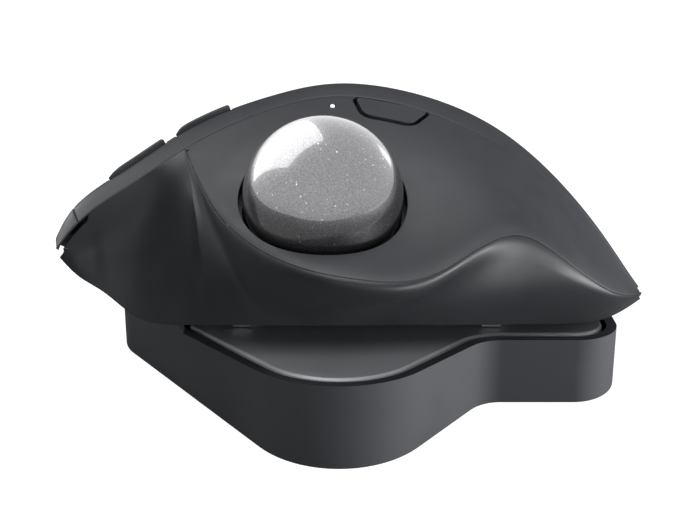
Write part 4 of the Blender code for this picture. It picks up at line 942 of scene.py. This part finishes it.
def wheel_centre():
    point, _, _ = on_skin(1.42, (WHEEL_FAR + WHEEL_NEAR) / 2)
    return Vector((point.x, WHEEL_Y, point.z + WHEEL_PROUD - WHEEL_RADIUS))


def build_top_cover():
    left = (cells_between(0, CLICK_END, WHEEL_NEAR, CLICK_EDGE)
            | cells_between(0, NOSE_SEAM, CLICK_EDGE, BAND_LOW))
    right = cells_between(0, CLICK_END, FAR_SEAM, WHEEL_FAR)
    forward = cells_between(*FRONT_SIDE, CLICK_EDGE, RIDGE)
    back = cells_between(*REAR_SIDE, CLICK_EDGE, RIDGE)
    cover = cells_between(0, HEEL, FAR_SEAM, BAND_LOW) - left - right - forward - back
    place("left_click_cap", wall_shape(left, inner_click), HOUSING, "left_click", "graphite_shell",
          ["left_click_button"])
    place("right_click_cap", wall_shape(right, inner_click), HOUSING, "right_click", "graphite_shell",
          ["right_click_button"])
    for name, cells, first in (("forward", forward, FRONT_SIDE[0]), ("back", back, REAR_SIDE[0])):
        shape = wall_shape(cells, inner_side, lambda p: PAD_SEAM, lambda p: PAD_ROLL, pad_lift(first))
        place(f"{name}_pad", shape, HOUSING, name, "graphite_shell", [f"{name}_button"])
    top = place("top_cover_skin", wall_shape(cover, inner_upper, shell_seam, shell_roll), HOUSING, "housing",
                "graphite_shell", ["top_cover"])
    middle = (WHEEL_FAR + WHEEL_NEAR) / 2
    centre = wheel_centre()
    spine = cells_between(2.2, 3.5, WHEEL_FAR, WHEEL_NEAR)
    point, normal, along = on_skin(2.85, middle)
    matrix = towards(normal, point, along)
    hole = rounded_outline(inset(OBLONG, -CLEAR))
    lights = {"channel_led_1": (3.3, middle - 0.5 * FINE), "channel_led_2": (3.3, middle + 0.5 * FINE),
              "battery_led": (3.75, middle)}
    tools = [cutter("wheel_slot", box_shape((centre.x, WHEEL_Y, centre.z + 6), (22, 8.2, 24), 0), HOUSING),
             cutter("oblong_hole", prism_shape(hole, -6, 6, matrix), HOUSING)]
    tools += [light_hole(name + "_hole", *at, LIGHT_RADIUS) for name, at in lights.items()]
    cut(top, tools)
    inlay("channel_button_cap", spine, matrix, OBLONG, "graphite_shell", "channel")
    for name, at in lights.items():
        build_lens(name, *at, LIGHT_RADIUS)


def turned_facet():
    """The housing's second flat, turned about the hinge axis."""
    up = Matrix.Translation((0, 0, AXIS_HEIGHT))
    return up @ Matrix.Rotation(math.radians(HINGE_ANGLE), 4, "X") @ up.inverted()


def build_lower_shell():
    cells = cells_between(0, HEEL, LIP, FAR_SEAM)
    wall = wall_shape(cells, inner_lower, lower_seam, shell_roll, follow_at=follow_rim)
    shell = place("lower_shell_skin", wall, HOUSING, "housing", "dark_casing", ["lower_shell"])
    tools = []
    for name, x in (("front", -HINGE_X), ("rear", HINGE_X)):
        tools.append(cutter(f"{name}_pocket", box_shape((x, 0, 3), (14, 10, 9)), HOUSING))
    level, leaned = Matrix.Identity(4), turned_facet()
    for i, (x, y, facet) in enumerate(((-36, -22, level), (38, -14, level), (-36, 27, leaned), (30, 30, leaned))):
        at = [facet @ Vector((x, y, z)) for z in (-2, 1.0, 6)]
        tools.append(cutter(f"screw_recess_{i}", rod_shape(at[0], at[1], 2.7, 32), HOUSING))
        tools.append(cutter(f"screw_hole_{i}", rod_shape(at[0], at[2], 1.35, 24), HOUSING))
    tools.append(cutter("power_slot", box_shape((4, -20, 1), (9.6, 4.2, 6)), HOUSING))
    eject = rod_shape(EJECT - Vector((0, 0, 5)), EJECT + Vector((0, 0, 16)), EJECT_RADIUS, 48)
    tools.append(cutter("eject", eject, HOUSING))
    tools.append(cutter("port_opening", box_shape((-60, WHEEL_Y, 15.2), (14, 8.4, 3.4), 1.2), HOUSING))
    cut(shell, tools)


def build_ball():
    bm = bmesh.new()
    bmesh.ops.create_icosphere(bm, subdivisions=6, radius=BALL_RADIUS)
    bmesh.ops.translate(bm, vec=BALL_CENTRE, verts=bm.verts)
    place("ball", bm, HOUSING, "ball", "ball_lacquer", ["trackball"], smooth=60)


def build_wheel():
    """The scroll wheel's tyre with moulded ribs across its tread."""
    half, ribs, per_rib = 3.1, 40, 4
    bm = turned_shape([(7.3, half), (8.4, half), (WHEEL_RADIUS - 0.35, half - 0.35), (WHEEL_RADIUS, half - 1.1),
                       (WHEEL_RADIUS, 0), (WHEEL_RADIUS, 1.1 - half), (WHEEL_RADIUS - 0.35, 0.35 - half),
                       (8.4, -half), (7.3, -half)], ribs * per_rib)
    for vert in bm.verts:
        radius = math.hypot(vert.co.x, vert.co.y)
        if radius > WHEEL_RADIUS - 0.1:
            turn = math.atan2(vert.co.y, vert.co.x)
            shrink = 1 - 0.045 * max(0, math.cos(turn * ribs)) ** 2
            vert.co.x *= shrink
            vert.co.y *= shrink
    place("scroll_tyre_ribbed", bm, HOUSING @ towards((0, 1, 0), wheel_centre()), "wheel", "rubber_grip",
          ["scroll_tyre"], smooth=60)


# ---- wedge and plate ----

WEDGE_REACH = 43.0
WEDGE_CORNERS = [(-57.5, 7, 10), (-6.5, -56.6, 22.3), (26, -17.6, 9), (57.5, -17.6, 10), (53, WEDGE_REACH, 18),
                 (-52, WEDGE_REACH, 20)]


def plane_height(y, above=0.0):
    """Desk height of the plane of the plate's top at a desk y, or of one parallel to it."""
    lean = math.radians(WEDGE_ANGLE)
    here = HINGE.z - (AXIS_HEIGHT + PLATE_GAP) / math.cos(lean)
    return here - (y - HINGE.y) * math.tan(lean) + above / math.cos(lean)


def front_cut(corners, x):
    """The outline's part behind a plane across x, for corners whose first and last lie in front of it."""
    (x0, y0, _), (x1, y1, _) = corners[0], corners[1]
    flank = y0 + (y1 - y0) * (x - x0) / (x1 - x0)
    return [(x, flank, 2.0)] + corners[1:-1] + [(x, corners[-1][1], 4.0)]


def level_cutter():
    """Takes the rim down behind the raised front, over a short slope."""
    bm = bmesh.new()
    bmesh.ops.create_cube(bm, size=1.0)
    bmesh.ops.scale(bm, vec=(120, 140, 20), verts=bm.verts)
    bmesh.ops.translate(bm, vec=(RAISED_END + 60, 0, 10 - RIM_DROP), verts=bm.verts)
    for vert in bm.verts:
        if vert.co.x < RAISED_END + 1 and vert.co.z > 5:
            vert.co.x -= RAISED_SLOPE * 20 / RIM_RAISE
    return cutter("rim_level", bm, PLATE)


def build_wedge():
    rim = inset(WEDGE_CORNERS, RIM_WALL)
    depth = PLATE_THICK + SOLE_THICK + 2 * CLEAR
    recess = rounded_outline(front_cut(rim, PLATE_FRONT - (PLATE_INSET - RIM_WALL)))
    wedge = place("wedge_body", prism_shape(rounded_outline(WEDGE_CORNERS), 0.0,
                                            lambda x, y: plane_height(y, RIM_RAISE - RIM_DROP)),
                  DESK, "base", "wedge_rubber", ["wedge_base"])
    tools = [level_cutter(),
             cutter("ledge", prism_shape(rounded_outline(rim), lambda x, y: plane_height(y, -RIM_DROP), 40), DESK),
             cutter("recess", prism_shape(recess, lambda x, y: plane_height(y, -depth), 40), DESK),
             cutter("hollow", prism_shape(rounded_outline(inset(WEDGE_CORNERS, HOLLOW_INSET)), -5,
                                          lambda x, y: plane_height(y, -depth - RECESS_FLOOR)), DESK)]
    cut(wedge, tools)
    softened(wedge, 0.5, 3, 40)


def to_plate(point):
    """Plan point of the desk frame, carried straight down onto the plate's plane, in the plate's frame."""
    lean = math.radians(WEDGE_ANGLE)
    y = (point.y - HINGE.y + (AXIS_HEIGHT + PLATE_GAP) * math.sin(lean)) / math.cos(lean)
    return Vector((point.x, y))


def build_plate():
    outline = [to_plate(p) for p in rounded_outline(front_cut(inset(WEDGE_CORNERS, PLATE_INSET), PLATE_FRONT))]
    plate = place("base_plate_cut", prism_shape(outline, -PLATE_THICK, 0.0), PLATE, "base", "plate_steel",
                  ["base_plate"], extra="chamfer_with_painted_highlight")
    # The chamfer takes the second finish, whose pale colour is painted highlight along the plate's edge.
    softened(plate, PLATE_CHAMFER, 1, 60, 1)


# ---- CAD nodes that stay ----

NODE_FINISH = {
    "dark_casing": ("ball_cup", "_switch"),
    "ceramic": ("bearing_",),
    "circuit_board": ("_board",),
    "battery_foil": ("battery",),
    "light_pipe": ("sensor_lens", "_led"),
    "magnet": ("magnet_",),
    "steel": ("housing_screw", "hinge_bracket", "hinge_pin", "wheel_axle", "charging_port"),
    "wedge_rubber": ("wedge_pad", "plate_sole"),
    "engineering_plastic": ("hinge_block", "power_slider", "press_frame", "wheel_carriage", "wheel_hub"),
}


def dress_cad():
    """Each CAD node that is still shown takes the finish listed for a word in its name."""
    for name, obj in frame["nodes"].items():
        for finish, words in NODE_FINISH.items():
            if any(word in name for word in words):
                obj.data.materials.clear()
                obj.data.materials.append(FINISHES[finish])
                break


# ---- floor, light, camera ----

def build_floor():
    bm = bmesh.new()
    bmesh.ops.create_grid(bm, x_segments=2, y_segments=2, size=FLOOR_REACH * MM)
    floor = new_object("floor", bm)
    made = Finish("white_floor", (0.20, 0.20, 0.20), 0.9, Emission_Strength=1.0)
    # A lit sweep: white to the camera, and greyer in what it throws back up at the object.
    path = made.node("ShaderNodeLightPath")
    made.link(made.mix(path.outputs["Is Camera Ray"], (0, 0, 0), (1, 1, 1)), made.shader.inputs["Emission Color"])
    made.bump(made.noise(3.0), 0.02, 0.02)
    floor.data.materials.append(made.made)


def area_light(name, centre, aim, size, power, pieces, state="INCLUDE", roll=0):
    """A light that reaches only some pieces, or with EXCLUDE all but them. Its roll is in degrees."""
    data = bpy.data.lights.new(name, "AREA")
    data.shape = "RECTANGLE"
    data.size, data.size_y = (side * MM for side in size)
    data.energy = power
    obj = new_object(name, data)
    obj.location = Vector(centre) * MM
    turn = (Vector(aim) - Vector(centre)).to_track_quat("-Z", "Y")
    obj.rotation_euler = (turn @ Quaternion((0, 0, 1), math.radians(roll))).to_euler()
    obj.visible_camera = False
    linked = bpy.data.collections.new(name + "_reach")
    for piece in pieces:
        linked.objects.link(piece)
    for member in linked.collection_objects:
        member.light_linking.link_state = state
    obj.light_linking.receiver_collection = linked


def build_light():
    world = bpy.data.worlds.new("studio")
    world.use_nodes = True
    back = world.node_tree.nodes["Background"]
    back.inputs["Color"].default_value = (1, 1, 1, 1)
    back.inputs["Strength"].default_value = 0.12
    bpy.context.scene.world = world
    ball, wedge, plate = ([bpy.data.objects[name]] for name in ("ball", "wedge_body", "base_plate_cut"))
    middle = (0, -10, 30)
    for name, centre, size, power, spared in (
            ("softbox", (-300, 130, 390), (460, 420), 0.6, ball),
            ("overhead", (0, 0, 520), (420, 420), 1.9, ball),
            ("right_card", (450, -60, 70), (320, 120), 1.7, ball + plate),
            ("right_front", (400, -320, 110), (300, 200), 1.6, ball + plate),
            ("front", (0, -520, 220), (400, 260), 0.3, ball),
            ("left_behind", (-420, 250, 160), (300, 260), 0.75, ball)):
        area_light(name, centre, middle, size, power, spared, "EXCLUDE")
    for name, centre, size, power, piece in (
            ("wedge_right", (430, -110, 60), (260, 120), 1.8, wedge),
            ("wedge_left", (-420, -200, 60), (200, 120), 0.4, wedge),
            ("plate_front", (0, -400, 420), (240, 160), 1.1, plate)):
        area_light(name, centre, middle, size, power, piece)
    # The ball mirrors a softbox behind it, a low card, and a bright room whose walls end low down.
    aim = HOUSING @ BALL_CENTRE
    area_light("ball_softbox", (-270, 240, 320), aim, (540, 620), 3.3, ball, roll=-18)
    area_light("ball_card", (380, 470, 90), aim, (140, 130), 0.12, ball, roll=-10)
    wall, height = 2 * ROOM_REACH, ROOM_HEIGHT / 2
    for name, x, y in (("front", 0, -1), ("left", -1, 0), ("right", 1, 0), ("back", 0, 1)):
        centre = (x * ROOM_REACH, y * ROOM_REACH, height)
        area_light(f"room_{name}", centre, (0, 0, height), (wall, ROOM_HEIGHT), 1.4, ball)
    area_light("room_top", (0, 0, ROOM_HEIGHT), (0, 0, 0), (wall, wall), 2.9, ball)


def build_camera():
    """The photograph's view: level with the thumb side, looking down."""
    elevation = math.radians(29)
    distance = 493
    target = Vector((-4.65, 49.0, 0))
    back = Vector((0, -math.cos(elevation), math.sin(elevation)))
    data = bpy.data.cameras.new("camera")
    data.lens = 100
    data.sensor_width = 36
    camera = new_object("camera", data)
    camera.location = (target + back * distance) * MM
    camera.rotation_euler = (-back).to_track_quat("-Z", "Y").to_euler()
    bpy.context.scene.camera = camera
    bpy.context.scene.view_settings.view_transform = "Standard"


build_thumb_panel()
build_top_cover()
build_lower_shell()
build_ball()
build_wheel()
build_wedge()
build_plate()
dress_cad()
build_floor()
build_light()
build_camera()
